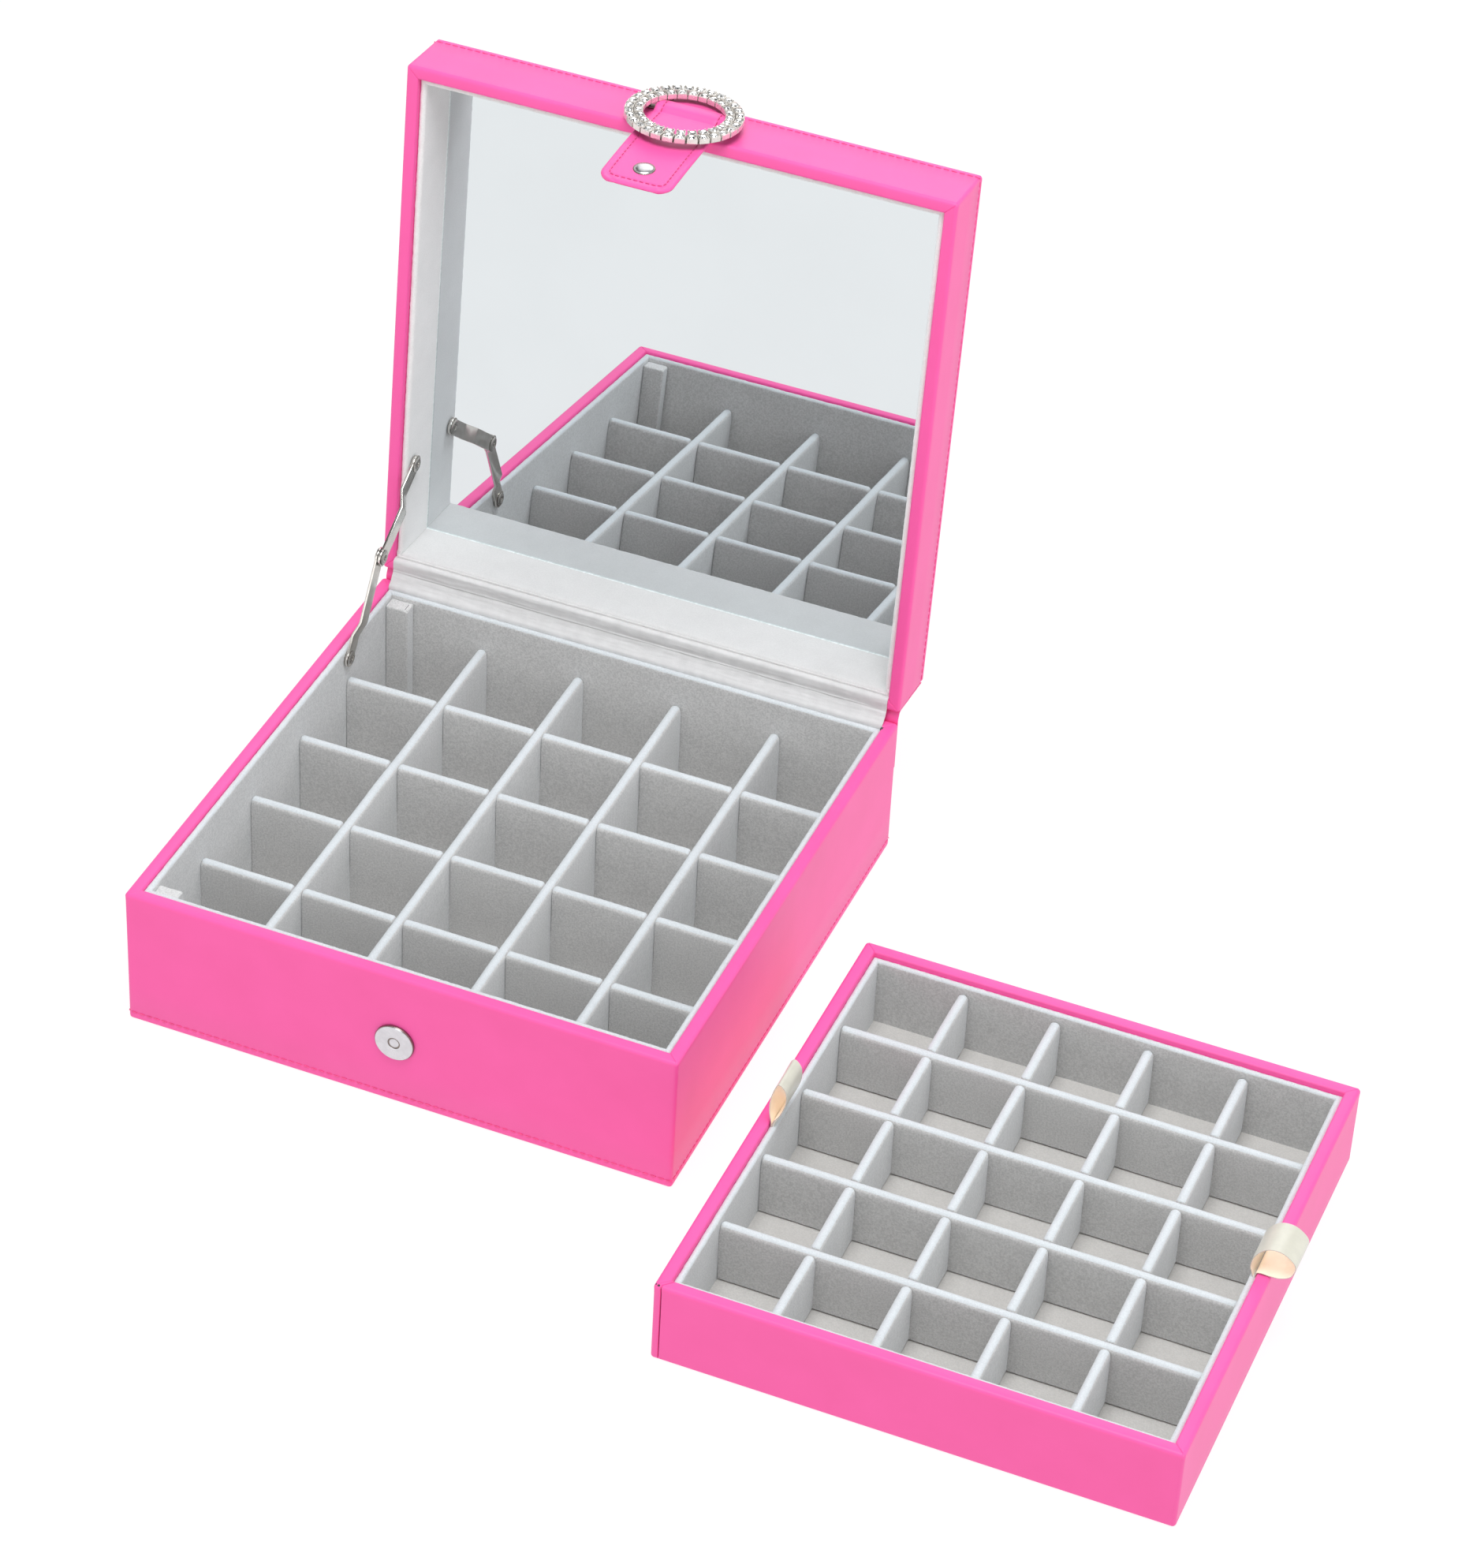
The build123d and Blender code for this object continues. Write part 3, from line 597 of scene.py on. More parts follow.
def fine_grain():
    """Group with pebbled grain and slow tone changes of a coated material."""
    known = bpy.data.node_groups.get("Fine Grain")
    if known:
        return known
    tree, given = shader_group("Fine Grain", {"Grain Scale": 1500.0, "Tone Scale": 60.0})
    cells = add_node(
        tree, "ShaderNodeTexVoronoi", {"Vector": given["Vector"], "Scale": given["Grain Scale"]},
        feature="SMOOTH_F1",
    )
    ripple = add_node(
        tree, "ShaderNodeTexNoise", {"Vector": given["Vector"], "Scale": given["Tone Scale"], "Detail": 3.0}
    )
    height = add_node(
        tree, "ShaderNodeMath", {0: ripple.outputs["Fac"], 1: 0.8, 2: cells.outputs["Distance"]},
        operation="MULTIPLY_ADD",
    )
    tone = add_node(
        tree, "ShaderNodeMapRange", {"Value": ripple.outputs["Fac"], "From Min": 0.3, "From Max": 0.7}
    )
    return finish_group(tree, {"Height": height.outputs[0], "Tone": tone.outputs[0]})


def pile():
    """Group with the mottled height and tone of a short pile."""
    known = bpy.data.node_groups.get("Short Pile")
    if known:
        return known
    tree, given = shader_group("Short Pile", {"Fibre Scale": 1700.0, "Brush Scale": 130.0})
    fibre = add_node(
        tree, "ShaderNodeTexNoise",
        {"Vector": given["Vector"], "Scale": given["Fibre Scale"], "Detail": 2.0, "Roughness": 0.65},
    )
    brush = add_node(
        tree, "ShaderNodeTexNoise",
        {"Vector": given["Vector"], "Scale": given["Brush Scale"], "Detail": 4.0, "Roughness": 0.6},
    )
    height = add_node(
        tree, "ShaderNodeMath", {0: brush.outputs["Fac"], 1: 0.5, 2: fibre.outputs["Fac"]},
        operation="MULTIPLY_ADD",
    )
    fleck = add_node(
        tree, "ShaderNodeMapRange", {"Value": fibre.outputs["Fac"], "From Min": 0.35, "From Max": 0.65}
    )
    smear = add_node(
        tree, "ShaderNodeMapRange", {"Value": brush.outputs["Fac"], "From Min": 0.3, "From Max": 0.7}
    )
    return finish_group(
        tree, {"Height": height.outputs[0], "Fleck": fleck.outputs[0], "Brush": smear.outputs[0]}
    )


def handling():
    """Group with fine scratches and dull spots from handling."""
    known = bpy.data.node_groups.get("Handling")
    if known:
        return known
    tree, given = shader_group(
        "Handling", {"Scratch Scale": 400.0, "Clean Roughness": 0.15, "Dull Roughness": 0.35}
    )
    spots = add_node(
        tree, "ShaderNodeTexNoise",
        {"Vector": given["Vector"], "Scale": given["Scratch Scale"], "Detail": 5.0},
    )
    stretched = add_node(
        tree, "ShaderNodeVectorMath", {0: given["Vector"], 1: (1.0, 0.12, 1.0)}, operation="MULTIPLY"
    )
    lines = add_node(
        tree, "ShaderNodeTexNoise", {"Vector": stretched.outputs[0], "Scale": 4000.0, "Detail": 2.0}
    )
    rough = add_node(
        tree, "ShaderNodeMapRange",
        {
            "Value": spots.outputs["Fac"], "From Min": 0.35, "From Max": 0.7,
            "To Min": given["Clean Roughness"], "To Max": given["Dull Roughness"],
        },
    )
    dull = add_node(
        tree, "ShaderNodeMapRange", {"Value": spots.outputs["Fac"], "From Min": 0.4, "From Max": 0.65}
    )
    return finish_group(
        tree, {"Height": lines.outputs["Fac"], "Roughness": rough.outputs[0], "Dull": dull.outputs[0]}
    )


def new_material(name, **sockets):
    """Material with a Principled shader whose named sockets are set, and its node tree."""
    material = bpy.data.materials.new(name)
    material.use_nodes = True
    tree = material.node_tree
    shader = tree.nodes["Principled BSDF"]
    for key, value in sockets.items():
        shader.inputs[key.replace("_", " ")].default_value = value
    return material, tree, shader


def object_vector(tree):
    """Object coordinates of the piece."""
    return tree.nodes.new("ShaderNodeTexCoord").outputs["Object"]


def use_group(tree, group, **inputs):
    """Group node in a material, with its inputs set or linked."""
    node = tree.nodes.new("ShaderNodeGroup")
    node.node_tree = group
    for key, value in inputs.items():
        socket = node.inputs[key.replace("_", " ")]
        if isinstance(value, bpy.types.NodeSocket):
            tree.links.new(value, socket)
        else:
            socket.default_value = value
    return node


def shade_of(colour, factor):
    """Colour made lighter or darker, with alpha."""
    return tuple(min(1.0, c * factor) for c in colour) + (1.0,)


def mix_colour(tree, factor, first, second):
    """Mix of two colours by a factor."""
    node = tree.nodes.new("ShaderNodeMix")
    node.data_type = "RGBA"
    for socket, value in ((node.inputs[0], factor), (node.inputs[6], first), (node.inputs[7], second)):
        if isinstance(value, bpy.types.NodeSocket):
            tree.links.new(value, socket)
        else:
            socket.default_value = value
    return node.outputs[2]


def paint(tree, shader, factor, first, second):
    """Mix of two colours by a factor, as the shader's colour."""
    tree.links.new(mix_colour(tree, factor, first, second), shader.inputs["Base Color"])


def add_bump(tree, shader, height, strength, distance):
    """Bump from a height on the shader's normal."""
    bump = add_node(tree, "ShaderNodeBump", {"Height": height, "Strength": strength, "Distance": distance})
    tree.links.new(bump.outputs[0], shader.inputs["Normal"])


def leather_material():
    """Smooth pink leatherette with a fine grain."""
    known = bpy.data.materials.get("leatherette_finish")
    if known:
        return known
    colour = tuple(colours().leather)
    material, tree, shader = new_material("leatherette_finish", Roughness=0.42, Specular_IOR_Level=0.36)
    grain = use_group(tree, fine_grain(), Vector=object_vector(tree), Grain_Scale=1500.0, Tone_Scale=45.0)
    paint(tree, shader, grain.outputs["Tone"], shade_of(colour, 0.97), shade_of(colour, 1.03))
    add_bump(tree, shader, grain.outputs["Height"], 0.10, 0.00012)
    return material


def thread_material(dark):
    """Pink sewing thread with its twist: pale on the boxes, dark on the strap."""
    name = "dark_thread_finish" if dark else "thread_finish"
    known = bpy.data.materials.get(name)
    if known:
        return known
    colour = tuple(colours().dark_thread if dark else colours().thread)
    material, tree, shader = new_material(name, Roughness=0.55, Sheen_Weight=0.3)
    grain = use_group(tree, fine_grain(), Vector=object_vector(tree), Grain_Scale=5200.0, Tone_Scale=700.0)
    paint(tree, shader, grain.outputs["Tone"], shade_of(colour, 0.85), shade_of(colour, 1.1))
    add_bump(tree, shader, grain.outputs["Height"], 0.5, 0.00008)
    return material


def velvet_material(name="velvet_finish", colour=None, fibre=1400.0, fleck=(0.85, 1.11), bump=0.32):
    """Short velvet, grey unless another colour is given."""
    known = bpy.data.materials.get(name)
    if known:
        return known
    colour = tuple(colour or colours().velvet)
    material, tree, shader = new_material(
        name, Roughness=0.95, Specular_IOR_Level=0.12, Sheen_Weight=0.7, Sheen_Roughness=0.5
    )
    shader.inputs["Sheen Tint"].default_value = (0.93, 0.97, 1.0, 1.0)
    nap = use_group(tree, pile(), Vector=object_vector(tree), Fibre_Scale=fibre, Brush_Scale=110.0)
    flecks = mix_colour(tree, nap.outputs["Fleck"], shade_of(colour, fleck[0]), shade_of(colour, fleck[1]))
    brush = mix_colour(tree, nap.outputs["Brush"], (0.95, 0.95, 0.95, 1.0), (1.0, 1.0, 1.0, 1.0))
    both = add_node(tree, "ShaderNodeVectorMath", {0: flecks, 1: brush}, operation="MULTIPLY")
    tree.links.new(both.outputs[0], shader.inputs["Base Color"])
    add_bump(tree, shader, nap.outputs["Height"], bump, 0.00024)
    return material


def lid_lit_velvet_material(name="lid_lit_velvet_finish", bright=1.3):
    """Smoother velvet inside the lid, its colour raised by a gain as painted light."""
    return velvet_material(name, tuple(bright * c for c in colours().velvet), 1700.0, (0.96, 1.03), 0.14)


def top_highlight_velvet_material():
    """Finer velvet painted brighter and bluer, as a painted highlight along the top edges of walls and
    dividers.
    """
    return velvet_material("top_highlight_velvet_finish", (0.69, 0.72, 0.74), 1700.0, (0.92, 1.05), 0.24)


def tray_shaded_velvet_material():
    """Velvet inside the tray, painted darker as painted shade."""
    return velvet_material("tray_shaded_velvet_finish", tuple(0.92 * c for c in colours().velvet))


def floor_velvet_material():
    """Warmer velvet of the floors."""
    return velvet_material("floor_velvet_finish", tuple(colours().floor_velvet), 1600.0, (0.93, 1.05), 0.2)


def cloth_material():
    """Thin pale cloth with a fine weave."""
    known = bpy.data.materials.get("cloth_finish")
    if known:
        return known
    colour = tuple(colours().cloth)
    material, tree, shader = new_material(
        "cloth_finish", Roughness=0.62, Specular_IOR_Level=0.3, Sheen_Weight=0.4
    )
    nap = use_group(tree, pile(), Vector=object_vector(tree), Fibre_Scale=2600.0, Brush_Scale=160.0)
    paint(tree, shader, nap.outputs["Brush"], shade_of(colour, 0.93), shade_of(colour, 1.06))
    add_bump(tree, shader, nap.outputs["Height"], 0.45, 0.0002)
    return material


def metal_material(name, colour, clean, dull, bump, metallic=1.0):
    """Plated metal with light handling marks."""
    known = bpy.data.materials.get(name)
    if known:
        return known
    material, tree, shader = new_material(name, Metallic=metallic)
    worn = use_group(
        tree, handling(), Vector=object_vector(tree), Scratch_Scale=350.0,
        Clean_Roughness=clean, Dull_Roughness=dull,
    )
    paint(tree, shader, worn.outputs["Dull"], shade_of(colour, 1.03), shade_of(colour, 0.94))
    tree.links.new(worn.outputs["Roughness"], shader.inputs["Roughness"])
    add_bump(tree, shader, worn.outputs["Height"], bump, 0.00003)
    return material


def nickel_material():
    """Nickel of the snap."""
    return metal_material("nickel_finish", (0.68, 0.665, 0.69), 0.26, 0.36, 0.03)


def chrome_material():
    """Bright plating of the ring's cups."""
    return metal_material("plating_finish", (0.80, 0.765, 0.72), 0.2, 0.32, 0.04, 0.6)


def shaded_metal_material():
    """Plating painted dark, as painted shade and dark reflections on edges, undersides and the ring's frame.
    """
    return metal_material("shaded_plating_finish", (0.26, 0.22, 0.20), 0.25, 0.45, 0.1)


def stone_material():
    """Clear foil-backed stones: their facets are painted light or dark at random, as painted glints and dark
    reflections.
    """
    known = bpy.data.materials.get("stone_glint_finish")
    if known:
        return known
    material, tree, shader = new_material(
        "stone_glint_finish", Roughness=0.03, Metallic=0.9, Coat_Weight=1.0, Coat_Roughness=0.02
    )
    cells = add_node(tree, "ShaderNodeTexVoronoi", {"Vector": object_vector(tree), "Scale": 1150.0})
    glint_ramp = add_node(tree, "ShaderNodeValToRGB", {"Fac": cells.outputs["Color"]})
    glint_ramp.color_ramp.interpolation = "CONSTANT"
    # Grey levels of the painted glints and dark reflections.
    glint_stops = ((0.0, 0.10), (0.18, 0.42), (0.38, 0.82), (0.6, 1.0))
    while len(glint_ramp.color_ramp.elements) < len(glint_stops):
        glint_ramp.color_ramp.elements.new(0.5)
    for element, (where, value) in zip(glint_ramp.color_ramp.elements, glint_stops):
        element.position = where
        element.color = (value, value, value, 1.0)
    tree.links.new(glint_ramp.outputs["Color"], shader.inputs["Base Color"])
    return material


def mirror_material():
    """Silvered glass."""
    known = bpy.data.materials.get("mirror_finish")
    if known:
        return known
    colour = tuple(colours().mirror)
    material, tree, shader = new_material("mirror_finish", Metallic=1.0, Roughness=0.0)
    worn = use_group(
        tree, handling(), Vector=object_vector(tree), Scratch_Scale=22.0,
        Clean_Roughness=0.0, Dull_Roughness=0.012,
    )
    paint(tree, shader, worn.outputs["Dull"], shade_of(colour, 1.0), shade_of(colour, 0.985))
    tree.links.new(worn.outputs["Roughness"], shader.inputs["Roughness"])
    return material


def glass_edge_glow_material():
    """Cut edge of the mirror glass, lightened and glowing faintly as a painted highlight; its green-grey tone
    varies at random.
    """
    known = bpy.data.materials.get("glass_edge_glow_finish")
    if known:
        return known
    material, tree, shader = new_material("glass_edge_glow_finish", Roughness=0.25, Emission_Strength=0.04)
    worn = use_group(tree, handling(), Vector=object_vector(tree), Scratch_Scale=900.0)
    tone = mix_colour(tree, worn.outputs["Dull"], (0.74, 0.79, 0.78, 1.0), (0.88, 0.92, 0.92, 1.0))
    tree.links.new(tone, shader.inputs["Base Color"])
    tree.links.new(tone, shader.inputs["Emission Color"])
    return material


def ribbon_material(inside=False):
    """Ivory satin ribbon; its inside is painted lighter and warmer and glows, as painted light through the
    satin and bounced from the pink leather.
    """
    name = "satin_inside_glow_finish" if inside else "satin_finish"
    known = bpy.data.materials.get(name)
    if known:
        return known
    colour = tuple(colours().ribbon)
    material, tree, shader = new_material(name, Roughness=0.3, Specular_IOR_Level=0.85, Sheen_Weight=0.25)
    if inside:
        # Painted light: the inside is brightened and glows peach.
        colour = (colour[0] * 1.45, colour[1] * 1.33, colour[2] * 1.3)
        shader.inputs["Emission Color"].default_value = (1.0, 0.82, 0.64, 1.0)
        shader.inputs["Emission Strength"].default_value = 0.14
    weave = use_group(tree, fine_grain(), Vector=object_vector(tree), Grain_Scale=4200.0, Tone_Scale=260.0)
    paint(tree, shader, weave.outputs["Tone"], shade_of(colour, 0.95), shade_of(colour, 1.03))
    add_bump(tree, shader, weave.outputs["Height"], 0.12, 0.00006)
    return material


def board_material():
    """Grey board inside the walls."""
    known = bpy.data.materials.get("board_finish")
    if known:
        return known
    material, tree, shader = new_material("board_finish", Roughness=0.9)
    nap = use_group(tree, pile(), Vector=object_vector(tree), Fibre_Scale=900.0, Brush_Scale=90.0)
    paint(tree, shader, nap.outputs["Fleck"], (0.30, 0.27, 0.22, 1.0), (0.42, 0.38, 0.32, 1.0))
    add_bump(tree, shader, nap.outputs["Height"], 0.3, 0.0002)
    return material


# Leatherette covering

COVER_ROUND = 1.4 * MM
SKIN = 0.6 * MM
RIM_ROUND = 0.8 * MM
RIM_BAND = 2.2 * MM
RIM_REACH = 4.9 * MM
MITRE_DEPTH = 0.22 * MM
GROOVE = 0.24 * MM
GROOVE_HALF = 0.6 * MM
GROOVE_FLOOR = 0.22 * MM
COLUMN_STEP = 7 * MM
HEM = 4 * MM
BASE_STITCH_UP = 3.5 * MM
LID_STITCH_DOWN = 2.9 * MM
SEAM_IN = 1.6 * MM
SEAM_HALF = 0.3 * MM
# Near-black colour painted as shade inside slits and gaps.
SLIT_SHADE_COLOUR = (0.05, 0.04, 0.04)


def cover_shape(rim_height, sign, seams=()):
    """Point mover for a covering: creased mitres on the rim, gentle unevenness, and butt seams.

    sign is 1 where the rim is on top and -1 where it is the lowest part.
    """

    def shape(x, y, inset, height, column):
        kind, side, value = column
        near_rim = abs(rim_height - height) < RIM_BAND and inset < RIM_REACH
        if kind == "corner" and near_rim:
            if value == 45.0:
                height -= sign * MITRE_DEPTH
            elif inset > 1.2 * MM:
                before = value < 45.0
                turn = math.radians(90 * side - 90 if before else 90 * side)
                reach = (0.65 if value in (0.0, 90.0) else 0.28) * MM * (-1 if before else 1)
                x += math.cos(turn) * reach
                y += math.sin(turn) * reach
        if inset < 0.05 * MM and abs(rim_height - height) > 3 * MM:
            wave = 0.10 * MM * (noise.noise(Vector((x, y, height * 2)) * 14.0) + 0.6)
            centre = Vector((x, y)).normalized()
            x -= centre.x * max(wave, 0.0)
            y -= centre.y * max(wave, 0.0)
        for seam_side, share, depth, low in seams:
            if kind == "side" and side == seam_side and abs(value - share) < SAME_PLACE and height > low:
                if inset < 0.3 * MM:
                    y += depth
                elif near_rim:
                    height -= depth * 0.6
        return x, y, height

    return shape


def groove(up):
    """Profile rows of the pressed line that a row of stitches lies in."""
    steps = ((0.0, -GROOVE_HALF), (GROOVE, -GROOVE_FLOOR), (GROOVE, GROOVE_FLOOR), (0.0, GROOVE_HALF))
    return [(depth, up + step) for depth, step in steps]


def open_cover_profile(height, rim, seam=None):
    """Profile of a covering with an open top, wrapped under the bottom by a hem."""
    r = COVER_ROUND
    return (
        [(HEM, 0.0)]
        + arc(r, r, r, 270, 180, 4)
        + (groove(seam) if seam else [])
        + [(0.0, height * 0.3), (0.0, height * 0.6), (0.0, height - 3.4 * MM)]
        + arc(r, height - r, r, 180, 90, 5)
        + [(rim * 0.5, height)]
        + arc(rim - RIM_ROUND, height - RIM_ROUND, RIM_ROUND, 90, 0, 4)
        + [(rim, height - 12 * MM), (rim - SKIN, height - 12 * MM)]
        + [(rim - SKIN, height - SKIN), (SKIN, height - SKIN), (SKIN, SKIN), (HEM, SKIN)]
    )


def cover_box(box, width, depth, profile, columns, shape, place):
    """Covering of an open box and the panel under it, glued inside the hem, with rounded edges."""
    cover = sweep_rectangle(
        f"{box}_leatherette", width, depth, COVER_ROUND, profile, columns, leather_material(), place, shape
    )
    settle(cover, box, "pink_leatherette", [f"{box}_cover"])
    r = 0.35 * MM
    edge = [(HEM, 0.75 * MM), (HEM, r)] + arc(HEM + r, 0.4 * MM, r, 180, 270, 3) + [(HEM + 6 * MM, 0.05 * MM)]
    panel = sweep_rectangle(
        f"{box}_bottom_leatherette", width, depth, 2.5 * MM, edge, rectangle_columns(width, depth, 12 * MM),
        leather_material(), place, lids=(0, len(edge) - 1),
    )
    settle(panel, box, "pink_leatherette", [f"{box}_underside_sheet"])


def edge_stitches(box, up, place):
    """Line of stitches round the base or the lid near its edge."""
    s = sizes()
    columns = rectangle_columns(s.width, s.depth, 4 * MM)
    path = [(*rectangle_point(s.width, s.depth, COVER_ROUND, 0.12 * MM, c), up) for c in columns]
    settle(stitch_line(f"{box}_stitches", [(path, True)], place), box, "pink_leatherette")


def shade_marks(name, boxes, place):
    """Painted shade in thin slits, gaps and holes: near-black boxes from one corner to the opposite one."""
    verts, faces = [], []
    for low, high in boxes:
        start = len(verts)
        around = ((low[0], low[1]), (high[0], low[1]), (high[0], high[1]), (low[0], high[1]))
        verts += [(x, y, z) for z in (low[2], high[2]) for x, y in around]
        rings = [(0, 3, 2, 1), (4, 5, 6, 7)] + [(i, (i + 1) % 4, 4 + (i + 1) % 4, 4 + i) for i in range(4)]
        faces += [tuple(start + i for i in ring) for ring in rings]
    return make_piece(name, verts, faces, velvet_material("slit_shade_finish", SLIT_SHADE_COLOUR), place)


class EARRINGBOX_OT_base_covering(bpy.types.Operator):
    """Cover the base in leatherette, with mitred rim corners, a hem and a stitched bottom edge"""

    bl_idname = "earringbox.base_covering"
    bl_label = "Base covering"

    def execute(self, context):
        s = sizes()
        cover_box(
            "base", s.width, s.depth, open_cover_profile(s.base_height, s.rim, BASE_STITCH_UP),
            rectangle_columns(s.width, s.depth, COLUMN_STEP), cover_shape(s.base_height, 1), base_frame(),
        )
        edge_stitches("base", BASE_STITCH_UP, base_frame())
        return {"FINISHED"}


class EARRINGBOX_OT_lid_covering(bpy.types.Operator):
    """Cover the lid in leatherette, with mitred rim corners and a stitched top edge"""

    bl_idname = "earringbox.lid_covering"
    bl_label = "Lid covering"

    def execute(self, context):
        s = sizes()
        r, rim, top = COVER_ROUND, s.rim, s.lid_height
        profile = (
            [(8 * MM, top - SKIN), (SKIN, top - SKIN), (SKIN, SKIN), (rim - SKIN, SKIN)]
            + [(rim - SKIN, 10 * MM), (rim, 10 * MM)]
            + arc(rim - RIM_ROUND, RIM_ROUND, RIM_ROUND, 0, -90, 4)
            + [(rim * 0.5, 0.0)]
            + arc(r, r, r, 270, 180, 5)
            + [(0.0, 3.4 * MM), (0.0, top * 0.5)]
            + groove(top - LID_STITCH_DOWN)
            + arc(r, top - r, r, 180, 90, 5)
            + [(4 * MM, top), (8 * MM, top - 0.02 * MM)]
        )
        cover = sweep_rectangle(
            "lid_leatherette", s.width, s.depth, r, profile, rectangle_columns(s.width, s.depth, COLUMN_STEP),
            leather_material(), lid_frame(), cover_shape(0.0, -1), lids=(0, len(profile) - 1),
        )
        settle(cover, "lid", "pink_leatherette", ["lid_cover"])
        edge_stitches("lid", top - LID_STITCH_DOWN, lid_frame())
        return {"FINISHED"}


class EARRINGBOX_OT_tray_covering(bpy.types.Operator):
    """Cover the tray in leatherette, with a butt seam at its front left corner"""

    bl_idname = "earringbox.tray_covering"
    bl_label = "Tray covering"

    def execute(self, context):
        s = sizes()
        seam = (0, SEAM_IN / s.tray_width, 0.75 * MM, 1.2 * MM)
        cover_box(
            "tray", s.tray_width, s.tray_depth, open_cover_profile(s.tray_height, s.rim),
            rectangle_columns(s.tray_width, s.tray_depth, COLUMN_STEP, [(0, SEAM_IN, SEAM_HALF)]),
            cover_shape(s.tray_height, 1, [seam]), tray_frame(),
        )
        x, y, z = SEAM_IN - s.tray_width / 2, -s.tray_depth / 2, s.tray_height
        # Painted shade: near-black boxes fill the butt seam's slit and its top corner.
        slit = [
            ((x - 0.14 * MM, y + 0.3 * MM, 2 * MM), (x + 0.14 * MM, y + 0.9 * MM, z - 1.3 * MM)),
            ((x - 0.1 * MM, y + 0.5 * MM, z - 1 * MM), (x + 0.7 * MM, y + 1.2 * MM, z + 0.04 * MM)),
            ((x - 1.0 * MM, y + 1.0 * MM, z - 1 * MM), (x - 0.6 * MM, y + 1.4 * MM, z - 0.02 * MM)),
        ]
        settle(shade_marks("tray_corner_slit_shade", slit, tray_frame()), "tray", "pink_leatherette")
        return {"FINISHED"}


# Velvet

PILE_STEP = 0.8 * MM
BASE_LEVELS = (3.8 * MM, 5.4 * MM, 44.6 * MM)
TRAY_LEVELS = (2.8 * MM, 4.0 * MM, 30.0 * MM)
BASE_LINER_DROP = 0.8 * MM
TRAY_LINER_DROP = 1.8 * MM
LID_LINER_LOW = 2.0 * MM
FLOOR_STEPS = 40
NOTCH_GAP = 0.2 * MM
LINER_SIDES = ("front", "back", "left", "right")


def fuzzy(amount, top, reach):
    """Point mover that roughens a velvet edge near a height."""

    def shape(x, y, inset, height, column):
        share = max(0.0, 1.0 - abs(top - height) / reach)
        if share > 0:
            where = Vector((x, y, height)) * 700.0
            x += amount * share * noise.noise(where)
            y += amount * share * noise.noise(where + Vector((7, 3, 1)))
            height += amount * share * noise.noise(where + Vector((1, 9, 4)))
        return x, y, height

    return shape


def velvet_ring(name, width, depth, low, high, place, material, turn=1, shape=None):
    """Velvet liners round the inside of a box, their rim edge rolled over.

    turn is 1 where the rolled edge is at high and -1 where it is at low.
    """
    s = sizes()
    roll = s.liner / 2
    outer, inner = s.rim + 0.03 * MM, s.rim + s.liner
    middle = (outer + inner) / 2
    top, far = (high, low) if turn > 0 else (low, high)
    straight = top - turn * 2.5 * roll
    profile = [(outer, far), (outer, straight)]
    profile += arc(middle, top - turn * roll, roll, 180, 180 - 180 * turn, 8)
    profile += [(inner, straight), (inner, (low + high) / 2), (inner, far)]
    columns = rectangle_columns(width, depth, PILE_STEP)
    rough = shape or fuzzy(1.1 * trim().fuzz, top, 3 * MM)

    def mover(x, y, inset, height, column):
        if column[0] == "corner" and column[2] == 45.0 and inset > middle:
            push = 0.3 * MM * (inset - middle) / roll
            x, y = x + math.copysign(push, x), y + math.copysign(push, y)
        return rough(x, y, inset, height, column)

    return sweep_rectangle(name, width, depth, 0.0, profile, columns, material, place, mover, 70)


def velvet_floor(name, width, depth, low, high, place):
    """Velvet floor with a softly uneven face."""
    inner = sizes().rim + sizes().liner
    half_x, half_y = width / 2 - inner, depth / 2 - inner
    count = FLOOR_STEPS
    verts = []
    for height, uneven in ((high, 0.15 * MM), (low, 0.0)):
        for j in range(count + 1):
            for i in range(count + 1):
                x, y = -half_x + 2 * half_x * i / count, -half_y + 2 * half_y * j / count
                verts.append((x, y, height + uneven * noise.noise(Vector((x, y, 0)) * 60)))
    return make_piece(name, verts, sheet_faces(count + 1, count), floor_velvet_material(), place)


def divider_prototype(length, thick, floor, top, notches, along):
    """One divider along X or Y through the origin; notches are cut from above down to half its height."""
    roll, half = thick / 2, length / 2
    gap = roll + NOTCH_GAP
    soft_end, soft_notch = 0.8 * MM, 1.0 * MM
    steps = round(length / (0.7 * MM))
    places = {-half + length * i / steps for i in range(steps + 1)}
    for notch in notches:
        places = {p for p in places if abs(abs(p - notch) - gap) > 0.3 * MM}
        for beyond in (-0.01 * MM, 0.0, 0.35 * MM, 0.9 * MM):
            places |= {notch - gap - beyond, notch + gap + beyond}
    rows = []
    for p in sorted(places):
        height, squeeze = top, 0.0
        for notch in notches:
            distance = abs(p - notch)
            if distance < gap - 0.005 * MM:
                height = (floor + top) / 2
            elif distance < gap + soft_notch:
                squeeze = max(squeeze, (1 - (distance - gap) / soft_notch) ** 2)
        end = half - abs(p)
        if end < soft_end:
            squeeze = max(squeeze, (1 - end / soft_end) ** 2)
        rows.append((p, height - 0.55 * MM * squeeze, roll - 0.28 * MM * squeeze))
    bend = arc(0.0, 0.0, 1.0, 180, 0, 9)
    foot = floor + 0.7 * MM
    verts = []
    for p, height, wide in rows:
        side = [(roll, height - 1.9 * roll), (roll, foot + (height - foot) * 0.5), (roll, foot)]
        section = [(-u, w) for u, w in reversed(side)]
        section += [(wide * u, height - roll + roll * w) for u, w in bend] + side
        verts += [(p, u, w) if along == "X" else (u, p, w) for u, w in section]
    return verts, tube_faces(len(rows), len(verts) // len(rows))


def highlight_tops(piece, above=None):
    """Give the upward faces of a velvet piece, or those above a height, the velvet painted with a highlight.
    """
    piece.data.materials.append(top_highlight_velvet_material())
    for face in piece.data.polygons:
        face.material_index = int(face.normal.z > 0.6 if above is None else face.center.z > above)
    return piece


